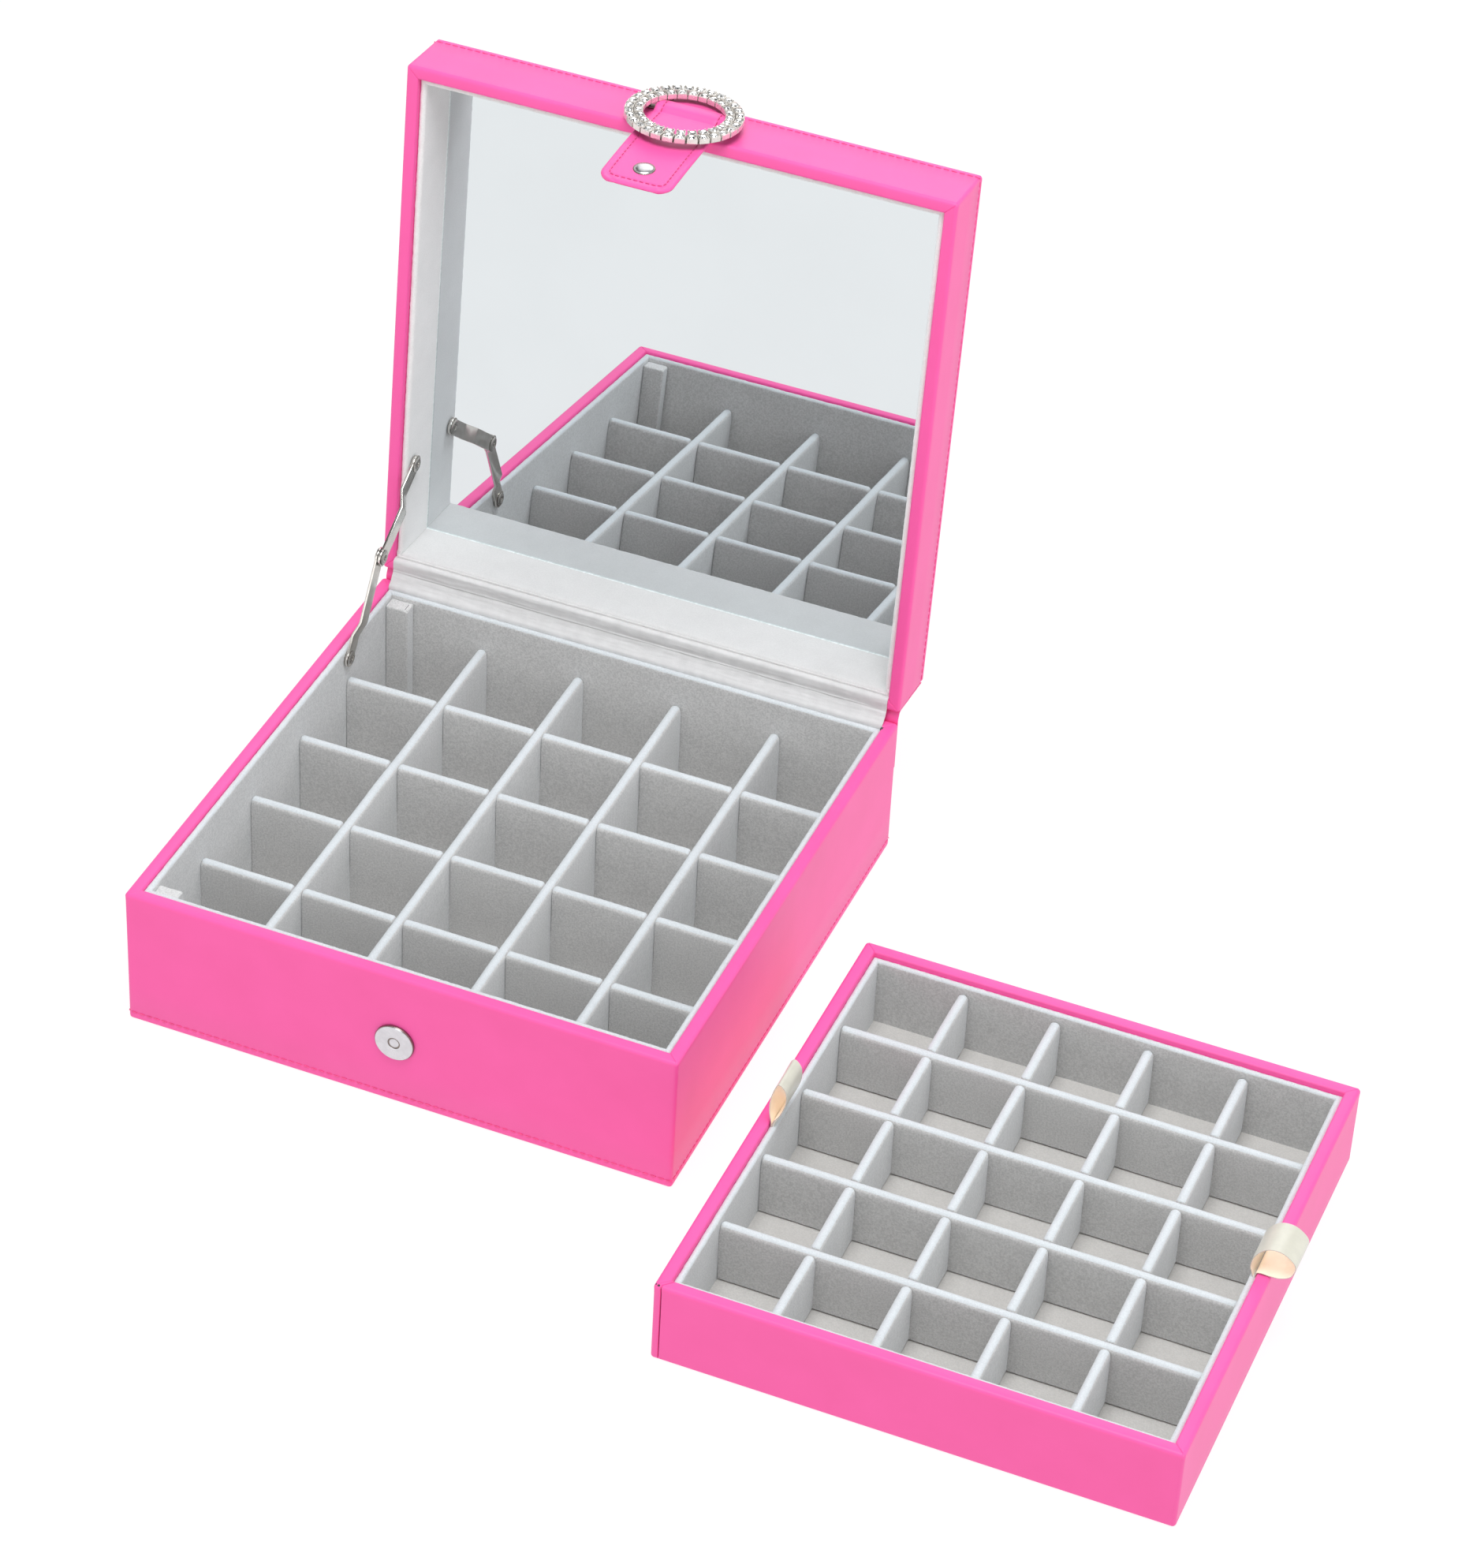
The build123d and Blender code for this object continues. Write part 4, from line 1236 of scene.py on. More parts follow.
def divider_row(name, space, floor, top, along, whole, place, material):
    """Row of equal dividers across a space, whole on top or notched from above."""
    s = sizes()
    length, across = space if along == "X" else space[::-1]
    number = s.slots - 1
    pitch, other = ((room - number * s.divider) / s.slots + s.divider for room in (across, length))
    middle = (number - 1) / 2
    notches = [] if whole else [(i - middle) * other for i in range(number)]
    verts, faces = divider_prototype(length - 0.36 * MM, s.divider, floor, top, notches, along)
    source = make_piece(name + "_one", verts, faces, material)
    step = (0.0, pitch, 0.0) if along == "X" else (pitch, 0.0, 0.0)
    values = {
        "Count": number,
        "Start": tuple(-middle * part for part in step),
        "Step": step,
        "Fuzz": 1.8 * trim().fuzz,
        "Fuzz Scale": 900.0,
        "Wave": 0.5 * MM,
        "Material": material,
    }
    mesh = grown_mesh(name, source, divider_tree(), values)
    mesh.transform(place)
    # The upward faces of the dividers take the velvet painted with a highlight.
    return highlight_tops(make_object(name, mesh, material, 70))


def line_box(box, width, depth, wall_top, levels, place, velvet, wall_nodes, rows):
    """Wall liners, floor and both rows of dividers of an open box.

    levels are the heights of the floor's underside and face and of the dividers; a row gives its name, its
    direction, whether its dividers are whole on top, and the CAD nodes that it stands for.
    """
    s = sizes()
    floor, pad, top = levels
    walls = velvet_ring(f"{box}_wall_velvet", width, depth, floor, wall_top, place, velvet)
    # The rolled top edges of the liners take the velvet painted with a highlight.
    settle(highlight_tops(walls, wall_top - 0.32 * s.liner), box, "velvet", wall_nodes)
    ground = velvet_floor(f"{box}_floor_velvet", width, depth, floor, pad, place)
    settle(ground, box, "velvet", [f"{box}_floor_pad"])
    inner = s.rim + s.liner
    space = (width - 2 * inner, depth - 2 * inner)
    for name, along, whole, nodes in rows:
        dividers = divider_row(f"{box}_dividers_{name}", space, pad, top, along, whole, place, velvet)
        settle(dividers, box, "velvet", nodes)


def corner_post(name, low, high, place):
    """Folded velvet post with rounded edges and a cut fold at its top corner."""
    (x0, y0, z0), (x1, y1, z1) = low, high
    width, depth, r = x1 - x0, y1 - y0, 0.7 * MM
    profile = [(0.0, z0), (0.0, (z0 + z1) / 2), (0.0, z1 - 2.0 * MM)] + arc(r, z1 - r, r, 180, 90, 4)
    columns = rectangle_columns(width, depth, 0.9 * MM)
    rough = fuzzy(0.9 * trim().fuzz, z1, 6 * MM)

    def shape(x, y, inset, height, column):
        if column[0] == "corner" and column[1] == 1 and height > z1 - 2.1 * MM:
            height -= 0.45 * MM
        return rough(x, y, inset, height, column)

    middle = Matrix.Translation(((x0 + x1) / 2, (y0 + y1) / 2, 0))
    return sweep_rectangle(
        name, width, depth, r, profile, columns, velvet_material(), place @ middle, shape, 50,
        lids=(0, len(profile) - 1),
    )


class EARRINGBOX_OT_base_velvet(bpy.types.Operator):
    """Line the base: wall liners, floor, half-lapped dividers and corner posts"""

    bl_idname = "earringbox.base_velvet"
    bl_label = "Base velvet"

    def execute(self, context):
        s = sizes()
        rows = (
            ("front_to_back", "Y", True, [f"base_divider_long_{i}" for i in range(1, 5)]),
            ("side_to_side", "X", False, [f"base_divider_cross_{i}" for i in range(1, 5)]),
        )
        line_box(
            "base", s.width, s.depth, s.base_height - BASE_LINER_DROP, BASE_LEVELS, base_frame(),
            velvet_material(), [f"base_liner_{side}" for side in LINER_SIDES], rows,
        )
        for name in ("front", "back"):
            low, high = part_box(f"base_post_{name}")
            post = corner_post(f"base_post_{name}_velvet", low, high, base_frame())
            settle(post, "base", "velvet", [f"base_post_{name}"])
        # Painted shade: a near-black box lies in the seam along the back post's top right edge.
        cut = [
            ((high[0] - 1.5 * MM, low[1] + 0.8 * MM, high[2] - 0.5 * MM),
             (high[0] - 1.28 * MM, high[1] - 1.4 * MM, high[2] + 0.02 * MM)),
        ]
        settle(shade_marks("base_post_back_slit_shade", cut, base_frame()), "base", "velvet")
        across, back, rim_top = s.width / 2 - s.rim, s.depth / 2 - s.rim, s.base_height
        # Painted shade: a near-black box fills the gap at the right end of the hinge cloth.
        gap = [
            ((across - 0.2 * MM, back - 1.3 * MM, rim_top - 0.9 * MM),
             (across + 0.75 * MM, back - 0.1 * MM, rim_top + 0.02 * MM)),
        ]
        settle(shade_marks("hinge_cloth_end_gap_shade", gap, base_frame()), "base", "velvet")
        return {"FINISHED"}


class EARRINGBOX_OT_lid_velvet(bpy.types.Operator):
    """Line the lid's walls around the mirror"""

    bl_idname = "earringbox.lid_velvet"
    bl_label = "Lid velvet"

    def execute(self, context):
        s = sizes()
        rough = fuzzy(1.1 * trim().fuzz, LID_LINER_LOW, 3 * MM)

        def shape(x, y, inset, height, column):
            if y > s.depth / 2 - s.rim - s.liner - 0.2 * MM and height < 12 * MM:
                height -= 1.2 * MM * min(1.0, max(0.0, (6 * MM - height) / (6 * MM)))
            return rough(x, y, inset, height, column)

        walls = velvet_ring(
            "lid_wall_velvet", s.width, s.depth, LID_LINER_LOW, GLASS, lid_frame(), lid_lit_velvet_material(),
            -1, shape,
        )
        # Painted light: the lid's liners are painted 1.3 times as bright as the velvet, their upward faces
        # only 1.03 times.
        walls.data.materials.append(lid_lit_velvet_material("lid_low_lit_velvet_finish", 1.03))
        for face in walls.data.polygons:
            face.material_index = int(face.normal.z > 0.5)
        settle(walls, "lid", "velvet", [f"lid_liner_{side}" for side in LINER_SIDES])
        return {"FINISHED"}


class EARRINGBOX_OT_tray_velvet(bpy.types.Operator):
    """Line the tray: wall liners, floor and half-lapped dividers"""

    bl_idname = "earringbox.tray_velvet"
    bl_label = "Tray velvet"

    def execute(self, context):
        s = sizes()
        rows = (
            ("front_to_back", "Y", False, ["tray_dividers_long"]),
            ("side_to_side", "X", True, ["tray_dividers_cross"]),
        )
        # The tray's velvet is painted darker as painted shade.
        line_box(
            "tray", s.tray_width, s.tray_depth, s.tray_height - TRAY_LINER_DROP, TRAY_LEVELS, tray_frame(),
            tray_shaded_velvet_material(), ["tray_liners"], rows,
        )
        return {"FINISHED"}


# Mirror

SILVER_BEHIND = 0.6 * MM
SILVER_THICK = 0.5 * MM
UNDER_LINER = 2.4 * MM


class EARRINGBOX_OT_mirror(bpy.types.Operator):
    """Fit the mirror: silvered face behind the glass surface, and the glass's cut edge"""

    bl_idname = "earringbox.mirror"
    bl_label = "Mirror"

    def execute(self, context):
        s = sizes()
        inner = s.rim + s.liner
        columns = rectangle_columns(s.width, s.depth, 12 * MM)
        silver = GLASS + SILVER_BEHIND
        profile = [(inner - UNDER_LINER, silver), (inner - UNDER_LINER, silver + SILVER_THICK)]
        plate = sweep_rectangle(
            "mirror_silver", s.width, s.depth, 0.0, profile, columns, mirror_material(), lid_frame(),
            lids=(0, 1),
        )
        settle(plate, "lid", "mirror", ["lid_mirror"])
        front, back = GLASS + 0.02 * MM, silver - 0.02 * MM
        seen, hidden = inner + 0.1 * MM, inner - 0.5 * MM
        edge = [(seen, front), (seen, back), (hidden, back), (hidden, front)]
        # The cut edge is lightened and glows faintly as a painted highlight.
        line = sweep_rectangle(
            "mirror_glass_edge", s.width, s.depth, 0.0, edge, columns, glass_edge_glow_material(), lid_frame()
        )
        settle(line, "lid", "mirror")
        return {"FINISHED"}


# Hinge

STRIP_THICK = 0.6 * MM
CLOTH_THICK = 0.35 * MM


def path_normal(path, i):
    """Direction across a path of points at one of them."""
    run = (path[min(i + 1, len(path) - 1)] - path[max(i - 1, 0)]).normalized()
    return Vector((-run.y, run.x))


def profile_sheet(name, path, x0, x1, thick, material, step, wrinkle):
    """Sheet along X whose section follows a path of (y, z), with wrinkles along X."""
    count = max(2, round((x1 - x0) / step))
    verts = []
    for side in (1, -1):
        for i, point in enumerate(path):
            normal = path_normal(path, i)
            share = math.sin(math.pi * i / (len(path) - 1))
            for k in range(count + 1):
                x = x0 + (x1 - x0) * k / count
                lift = wrinkle * share * noise.noise(Vector((x * 45, i * 0.22, 0.3)))
                lift += wrinkle * 0.5 * share * noise.noise(Vector((x * 160, i * 0.5, 1.7)))
                offset = normal * (side * thick / 2 + lift)
                verts.append((x, point.x + offset.x, point.y + offset.y))
    return make_piece(name, verts, sheet_faces(len(path), count), material)


def path_length(path):
    """Length of a path of points."""
    return sum((b - a).length for a, b in zip(path, path[1:]))


class EARRINGBOX_OT_hinge(bpy.types.Operator):
    """Make the hinge: leatherette strip outside and lining cloth with folds inside"""

    bl_idname = "earringbox.hinge"
    bl_label = "Hinge"

    def execute(self, context):
        s = sizes()
        lid = lid_frame()
        outside = s.depth / 2 + 0.45 * MM
        turn_in = lid @ Vector((0, outside, 0))
        along = (lid.to_3x3() @ Vector((0, 0, 1))).normalized()
        points = [Vector((outside, s.base_height - up * MM)) for up in (22.0, 10.0, 2.0)]
        points += [
            Vector((outside + 0.1 * MM, s.base_height + 0.9 * MM)),
            Vector((outside + 1.0 * MM, s.base_height + 3.0 * MM)),
        ]
        for up in (3.4, 9.0, 20.0, 26.0):
            points.append(Vector((turn_in.y + up * MM * along.y, turn_in.z + up * MM * along.z)))
        path = smooth_path(points, 0.7 * MM)
        strip = profile_sheet(
            "hinge_leatherette", path, 1.4 * MM - s.width / 2, s.width / 2 - 0.5 * MM, STRIP_THICK,
            leather_material(), 2.5 * MM, wrinkle=0.12 * MM,
        )
        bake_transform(strip)
        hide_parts("hinge_cover")

        back = s.depth / 2
        steps = (
            (-5.15, -2.6), (-5.1, -0.7), (-4.8, 0.25), (-3.9, 0.95), (-2.9, 1.95), (-1.95, 3.1), (-1.3, 4.2),
            (-1.0, 4.8), (-1.12, 5.1), (-1.12, 5.35), (-0.92, 5.65), (-0.9, 7.4), (-0.75, 9.0), (-0.35, 9.85),
            (0.7, 10.15), (2.4, 10.1),
        )
        inner = [(back + y * MM, s.base_height + z * MM) for y, z in steps]
        path = smooth_path([Vector(p) for p in inner], 0.35 * MM)
        reach = s.width / 2 - s.rim
        cloth = profile_sheet(
            "hinge_cloth", path, -reach, reach, CLOTH_THICK, cloth_material(), 1.0 * MM, wrinkle=0.22 * MM
        )
        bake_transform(cloth)
        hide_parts("hinge_lining")
        path_length(path)
        return {"FINISHED"}


# Strap

STRAP_X = -0.25 * MM
STRAP_OFF = 0.1 * MM
STRAP_FOLD = 16.4 * MM
BAR_UP = 15.0 * MM
SNAP_DROP = 30.6 * MM
STRAP_DROOP = math.radians(6.0)
STRAP_CORNER = 6.0 * MM
STRAP_SOFT = 0.75 * MM
STITCH_IN = 3.2 * MM
STITCH_CORNER = 3.0 * MM
STITCH_SUNK = 0.12 * MM
PRESS_DEPTH = 0.22 * MM
PRESS_WIDTH = 0.55 * MM
STRAP_STITCH = 0.76
ROW_STEP = 0.55 * MM


def strap_line():
    """Middle line of the strap in the lid's frame, from the lid's top over its front to the flap's end."""
    t, s = trim(), sizes()
    off = STRAP_OFF + t.strap_thick / 2
    top, hump = s.lid_height + off, 1.6 * MM
    run_z, run_v = -math.cos(STRAP_DROOP), -math.sin(STRAP_DROOP)
    points = [(top, -26.0 * MM), (top, -14.0 * MM), (top, -3.0 * MM)]
    points += [(top - 0.05 * MM, -1.4 * MM), (top - 0.75 * MM, off - 0.55 * MM), (top - 2.2 * MM, off)]
    points += [
        (BAR_UP + 6.5 * MM, off), (BAR_UP + 4.4 * MM, off + 0.05 * MM), (BAR_UP + 1.9 * MM, off + hump)
    ]
    points += [(BAR_UP - 1.9 * MM, off + hump), (BAR_UP - 4.4 * MM, off + 0.05 * MM)]
    points += [(BAR_UP - 6.5 * MM, off), (3.0 * MM, off), (0.6 * MM, off - 0.02 * MM)]
    for share in (0.055, 0.18, 0.34, 0.54, 0.76, 0.9, 1.0):
        reach = share * t.strap_reach
        sag = 0.35 * MM * math.sin(math.pi * share)
        points.append((reach * run_z, off + reach * run_v + sag))
    return [Vector(p) for p in points]


def strap_rows():
    """Rows along the strap: point, outward direction and distance beyond the rim, in the lid's frame."""
    path = smooth_path(strap_line(), ROW_STEP)
    lengths = [0.0]
    for a, b in zip(path, path[1:]):
        lengths.append(lengths[-1] + (b - a).length)
    crossing = min(range(len(path)), key=lambda i: (path[i] - Vector((0, STRAP_OFF + 0.8 * MM))).length)
    front = -sizes().depth / 2
    rows = []
    for i, point in enumerate(path):
        place, out = Vector((0, front - point.y, point.x)), -path_normal(path, i)
        rows.append((place, Vector((0, -out.y, out.x)), lengths[i] - lengths[crossing]))
    return rows


def strap_half_width(along, end):
    """Half width of the strap, with round corners at the flap's end."""
    half, corner = trim().strap_width / 2, STRAP_CORNER
    left = end - along
    if left >= corner:
        return half
    return half - corner + math.sqrt(max(corner * corner - (corner - left) ** 2, 0.0))


def pressed(distance):
    """Depth of a pressed stitch line at a distance from its middle."""
    return PRESS_DEPTH * math.exp(-((distance / PRESS_WIDTH) ** 2))


def strap_section(half):
    """Section across the strap with soft edges and pressed stitch lines."""
    upper, lower = [], []
    thick, soft = trim().strap_thick, STRAP_SOFT
    line = half - STITCH_IN
    for share in (0.0, 0.18, 0.36, 0.52, 0.62, 0.68, 0.73, 0.78, 0.84, 0.90, 0.95, 0.985, 1.0):
        u = share * half
        edge = min(half - u, soft)
        bulge = thick / 2 * math.sqrt(max(0.0, 1 - ((soft - edge) / soft) ** 2))
        height = max(bulge - (pressed(u - line) if line > 0 else 0.0), 0.02 * MM)
        upper.append((u, height))
        lower.append((u, -min(height, bulge)))
    top = [(-u, v) for u, v in reversed(upper)] + upper[1:]
    return top + lower[::-1] + [(-u, v) for u, v in lower[1:]]


def strap_part(name, rows, end):
    """Mesh of part of the strap from its rows."""
    verts = []
    for point, out, along in rows:
        half = strap_half_width(along, end)
        edge = min(1.0, (end - along) / (0.7 * MM))
        flat = math.sqrt(max(0.05, 1 - (1 - edge) ** 2))
        dip = pressed(end - along - STITCH_IN)
        for u, v in strap_section(half):
            lower = dip if v > 0 and abs(u) < half - STITCH_IN + 0.5 * MM else 0.0
            verts.append(point + Vector((STRAP_X + u, 0, 0)) + out * ((v - lower) * flat))
    faces = tube_faces(len(rows), len(verts) // len(rows))
    return make_piece(name, verts, faces, leather_material(), lid_frame(), 60)


def on_strap(row, across):
    """Point of a row just under the strap's face, at a distance from its middle."""
    point, out, _ = row
    return point + Vector((STRAP_X + across, 0, 0)) + out * (trim().strap_thick / 2 - STITCH_SUNK)


def strap_surface_line(rows, across, start, stop):
    """Line along the strap's face at a distance from its middle."""
    return [on_strap(row, across) for row in rows if start <= row[2] <= stop]


class EARRINGBOX_OT_strap(bpy.types.Operator):
    """Make the strap: fixed part over the lid, the part under the ring, and the flap, with stitches"""

    bl_idname = "earringbox.strap"
    bl_label = "Strap"

    def execute(self, context):
        rows, lid = strap_rows(), lid_frame()
        end = rows[-1][2]
        split, overlap = STRAP_FOLD / 2, 0.3 * MM
        distances = (-1.5 * MM, 1.8 * MM, STRAP_FOLD - 2.5 * MM, STRAP_FOLD + 2.5 * MM)
        rim, beyond, near, far = (
            next(lid @ point for point, _, along in rows if abs(along - distance) < 0.4 * MM)
            for distance in distances
        )
        anchor = strap_part("strap_over_lid", [r for r in rows if r[2] <= split + overlap], end)
        flap = strap_part("strap_flap_leatherette", [r for r in rows if r[2] >= split - overlap], end)
        inset = trim().strap_width / 2 - STITCH_IN
        sides = [(strap_surface_line(rows, u, -60 * MM, split), False) for u in (-inset, inset)]
        first_thread = stitch_line("strap_stitches_lid", sides, lid, STRAP_STITCH, True)
        corner, stop = STITCH_CORNER, end - STITCH_IN
        left, right = (strap_surface_line(rows, u, split, stop - corner) for u in (-inset, inset))
        bend = []
        for angle in range(0, 91, 15):
            a = math.radians(angle)
            along = stop - corner + corner * math.sin(a)
            row = min(rows, key=lambda r: abs(r[2] - along))
            bend.append((row, corner - corner * math.cos(a) - inset))
        left += [on_strap(row, u) for row, u in bend]
        right += [on_strap(row, -u) for row, u in bend]
        outline = [(left + right[::-1], False)]
        flap_thread = stitch_line("strap_stitches_flap", outline, lid, STRAP_STITCH, True)
        for piece in (anchor, first_thread):
            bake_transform(piece)
            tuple(rim)
            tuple(beyond)
        for piece in (flap, flap_thread):
            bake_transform(piece)
            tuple(near)
            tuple(far)
        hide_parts("strap_anchor", "strap_root")
        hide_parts("strap_flap")
        return {"FINISHED"}


# Snap

SNAP_UP = 29.4 * MM


def flap_place():
    """Point on the flap's middle at the snap, and the flap's outward direction, in the row frame."""
    point, out, _ = min(strap_rows(), key=lambda r: abs(r[2] - SNAP_DROP))
    lid = lid_frame()
    return lid @ (point + Vector((STRAP_X, 0, 0))), (lid.to_3x3() @ out).normalized()


class EARRINGBOX_OT_snap(bpy.types.Operator):
    """Make the magnetic snap: socket on the front, stud under the flap and cap on it"""

    bl_idname = "earringbox.snap"
    bl_label = "Snap"

    def execute(self, context):
        # dark is the plating painted with shade and dark reflections, for the socket's rim and the cap's
        # flange.
        metal, dark = nickel_material(), shaded_metal_material()
        centre, forward = Vector((STRAP_X, -sizes().depth / 2, SNAP_UP)), (0, -1, 0)
        disc = [
            (0.0, 0.2), (7.0, 0.2), (7.3, 0.9), (7.55, 1.2), (7.45, 1.34), (7.0, 1.4), (6.2, 1.42),
            (3.2, 1.36), (2.75, 1.34), (2.5, 1.2), (2.4, 0.45), (2.0, 0.45), (1.95, 1.0), (1.8, 1.12),
            (1.2, 1.15), (0.0, 1.16),
        ]
        socket = lathe("snap_socket_disc", disc, centre, forward, metal, 64)
        settle(socket, "base", "snap_nickel", ["snap_socket"])
        rim = [
            (0.0, -0.2), (7.5, -0.2), (7.8, 0.1), (7.85, 0.85), (7.7, 1.1), (7.4, 1.2), (7.0, 1.1), (0.0, 1.0)
        ]
        settle(lathe("snap_socket_rim", rim, centre, forward, dark, 64), "base", "snap_nickel")
        point, out = flap_place()
        half = trim().strap_thick / 2
        dome = [
            (0.0, -0.05), (3.5, -0.05), (3.72, 0.15), (3.6, 0.31), (3.15, 0.55), (2.4, 0.76), (1.5, 0.89),
            (0.6, 0.95), (0.0, 0.95),
        ]
        cap = lathe("snap_cap_dome", dome, point + out * half, out, metal, 48, 60)
        settle(cap, "strap_flap", "snap_nickel", ["snap_cap"])
        edge = [
            (0.0, 0.0), (3.3, 0.0), (4.0, 0.0), (4.12, 0.1), (4.05, 0.24), (3.85, 0.3), (3.3, 0.2), (0.0, 0.2)
        ]
        flange = lathe("snap_cap_flange", edge, point + out * (half - 0.02 * MM), out, dark, 48, 60)
        settle(flange, "strap_flap", "snap_nickel")
        button = [
            (0.0, 0.6), (5.7, 0.6), (6.0, 0.35), (6.0, -0.3), (5.7, -0.55), (5.2, -0.6), (2.6, -0.6),
            (2.4, -0.5), (2.2, -0.2), (1.4, -0.2), (1.2, -0.55), (0.0, -0.6),
        ]
        stud = lathe("snap_stud_disc", button, point - out * half, out, metal, 48)
        settle(stud, "strap_flap", "snap_nickel", ["snap_stud"])
        return {"FINISHED"}


# Ring

RING_X = -0.5 * MM
RING_UP = 6.6 * MM
RING_OUT = 3.2 * MM
CUP_HEIGHT = 2.7 * MM
CUP_DEPTH = 3.4 * MM
OUTER_ROW = (20.55 * MM, 3.9 * MM)
INNER_ROW = (16.9 * MM, 3.45 * MM)
STONE_RADIUS = 1.62 * MM


def ring_frame():
    """Frame of the ring: X across, Z outwards from the lid's front."""
    s = sizes()
    place = Matrix.Translation((RING_X, -s.depth / 2 - RING_OUT, RING_UP))
    return lid_frame() @ place @ Matrix.Rotation(math.radians(90), 4, "X")


def round_band(name, radius, section, steps):
    """Closed band round the Z axis from a section of (outwards, up)."""
    angles = [2 * math.pi * i / steps for i in range(steps)]
    verts = [((radius + u) * math.cos(a), (radius + u) * math.sin(a), w) for a in angles for u, w in section]
    # The band takes the plating painted dark as painted shade and dark reflections.
    return make_piece(name, verts, band_faces(steps, len(section), closed=True), shaded_metal_material())


def ring_bar():
    """Plate under the cups, with the bar that the strap runs over and its two posts, in the ring's frame."""
    plate = [(-6.1 * MM, 0.25 * MM), (0.0, 0.25 * MM), (0.0, 0.55 * MM), (-6.1 * MM, 0.55 * MM)]
    parts = [round_band("ring_plate", 21.8 * MM, plate, 72)]
    half, wide, inner = 1.4 * MM, 19.2 * MM, 17.2 * MM
    r = 0.2 * MM
    for name, left, right, low, high in (
        ("ring_bar", -wide, wide, -3.05 * MM, -2.35 * MM),
        ("ring_post_left", -wide, -inner, -2.7 * MM, 0.2 * MM),
        ("ring_post_right", inner, wide, -2.7 * MM, 0.2 * MM),
    ):
        profile = arc(r, low + r, r, 270, 180, 3) + arc(r, high - r, r, 180, 90, 3)
        middle = Matrix.Translation(((left + right) / 2, BAR_UP - RING_UP, 0))
        # Each part takes the plating painted dark as painted shade and dark reflections.
        parts.append(
            sweep_rectangle(
                name, right - left, 2 * half, r, profile, rectangle_columns(right - left, 2 * half, 3 * MM),
                shaded_metal_material(), middle, lids=(0, len(profile) - 1),
            )
        )
    return join_meshes("ring_plate_and_bar", parts, shaded_metal_material())


def finished_mesh(bm, name, material):
    """Mesh of a finished bmesh, with its faces turned outwards and its material."""
    bmesh.ops.recalc_face_normals(bm, faces=bm.faces)
    mesh = bpy.data.meshes.new(name)
    bm.to_mesh(mesh)
    bm.free()
    mesh.materials.append(material)
    return mesh


def cup_mesh(material, radial, tangential):
    """Square cup with four claws, open in the middle."""
    bm = bmesh.new()
    h = CUP_HEIGHT
    outer = [(sx * radial / 2, sy * tangential / 2) for sx, sy in ((-1, -1), (1, -1), (1, 1), (-1, 1))]
    levels = (
        (0.88, 0.3 * MM), (0.97, 0.42 * MM), (1.0, 0.65 * MM), (1.0, h * 0.78), (0.96, h * 0.92),
        (0.88, h * 0.94), (0.82, h * 0.6), (0.5, h * 0.5),
    )
    rings = [[bm.verts.new((x * k, y * k, z)) for x, y in outer] for k, z in levels]
    for low, high in zip(rings, rings[1:]):
        for i in range(4):
            j = (i + 1) % 4
            bm.faces.new((low[i], low[j], high[j], high[i]))
    bm.faces.new(rings[0])
    bm.faces.new(rings[-1])
    claw = ((0.97, 0.97, 0.6), (0.97, 0.7, 0.6), (0.66, 0.66, 0.6), (0.7, 0.97, 0.6))
    tip = ((0.78, 0.78, 1.12), (0.8, 0.62, 1.1), (0.58, 0.58, 1.1), (0.62, 0.8, 1.1))
    for x, y in outer:
        low, high = ([bm.verts.new((x * a, y * b, h * c)) for a, b, c in points] for points in (claw, tip))
        bm.faces.new(low)
        bm.faces.new(high)
        for i in range(4):
            j = (i + 1) % 4
            bm.faces.new((low[i], low[j], high[j], high[i]))
    return finished_mesh(bm, "cup", material)


def stone_mesh(material, radius):
    """Round stone with a table, star and crown facets."""
    bm = bmesh.new()
    z0 = CUP_HEIGHT - 0.84 * MM

    def ring(share, up, count, start=0.0):
        angles = [2 * math.pi * (i + start) / count for i in range(count)]
        reach = share * radius
        return [bm.verts.new((reach * math.cos(a), reach * math.sin(a), z0 + up * MM)) for a in angles]

    table, middle = ring(0.52, 1.05, 8), ring(0.8, 0.75, 8, 0.5)
    girdle, low = ring(1.0, 0.25, 16), ring(1.0, 0.1, 16)
    tip = bm.verts.new((0, 0, z0 - 0.45 * MM))
    bm.faces.new(table)
    for i in range(8):
        j = (i + 1) % 8
        bm.faces.new((table[i], middle[i], table[j]))
        bm.faces.new((table[i], girdle[2 * i], middle[i]))
        bm.faces.new((table[i], middle[i - 1], girdle[2 * i]))
        bm.faces.new((middle[i], girdle[2 * i], girdle[2 * i + 1]))
        bm.faces.new((middle[i], girdle[2 * i + 1], girdle[2 * j]))
    for i in range(16):
        j = (i + 1) % 16
        bm.faces.new((girdle[i], low[i], low[j], girdle[j]))
        bm.faces.new((low[i], tip, low[j]))
    return finished_mesh(bm, "stone", material)


def ring_row(name, mesh, count, radius, tilt, spin, seed):
    """Row of copies round the ring."""
    values = {
        "Count": count, "Radius": radius, "Tilt": tilt, "Spin": spin, "Seed": seed,
        "Material": mesh.materials[0],
    }
    return link_object(name, grown_mesh(name, link_object(name + "_one", mesh), ring_tree(), values))


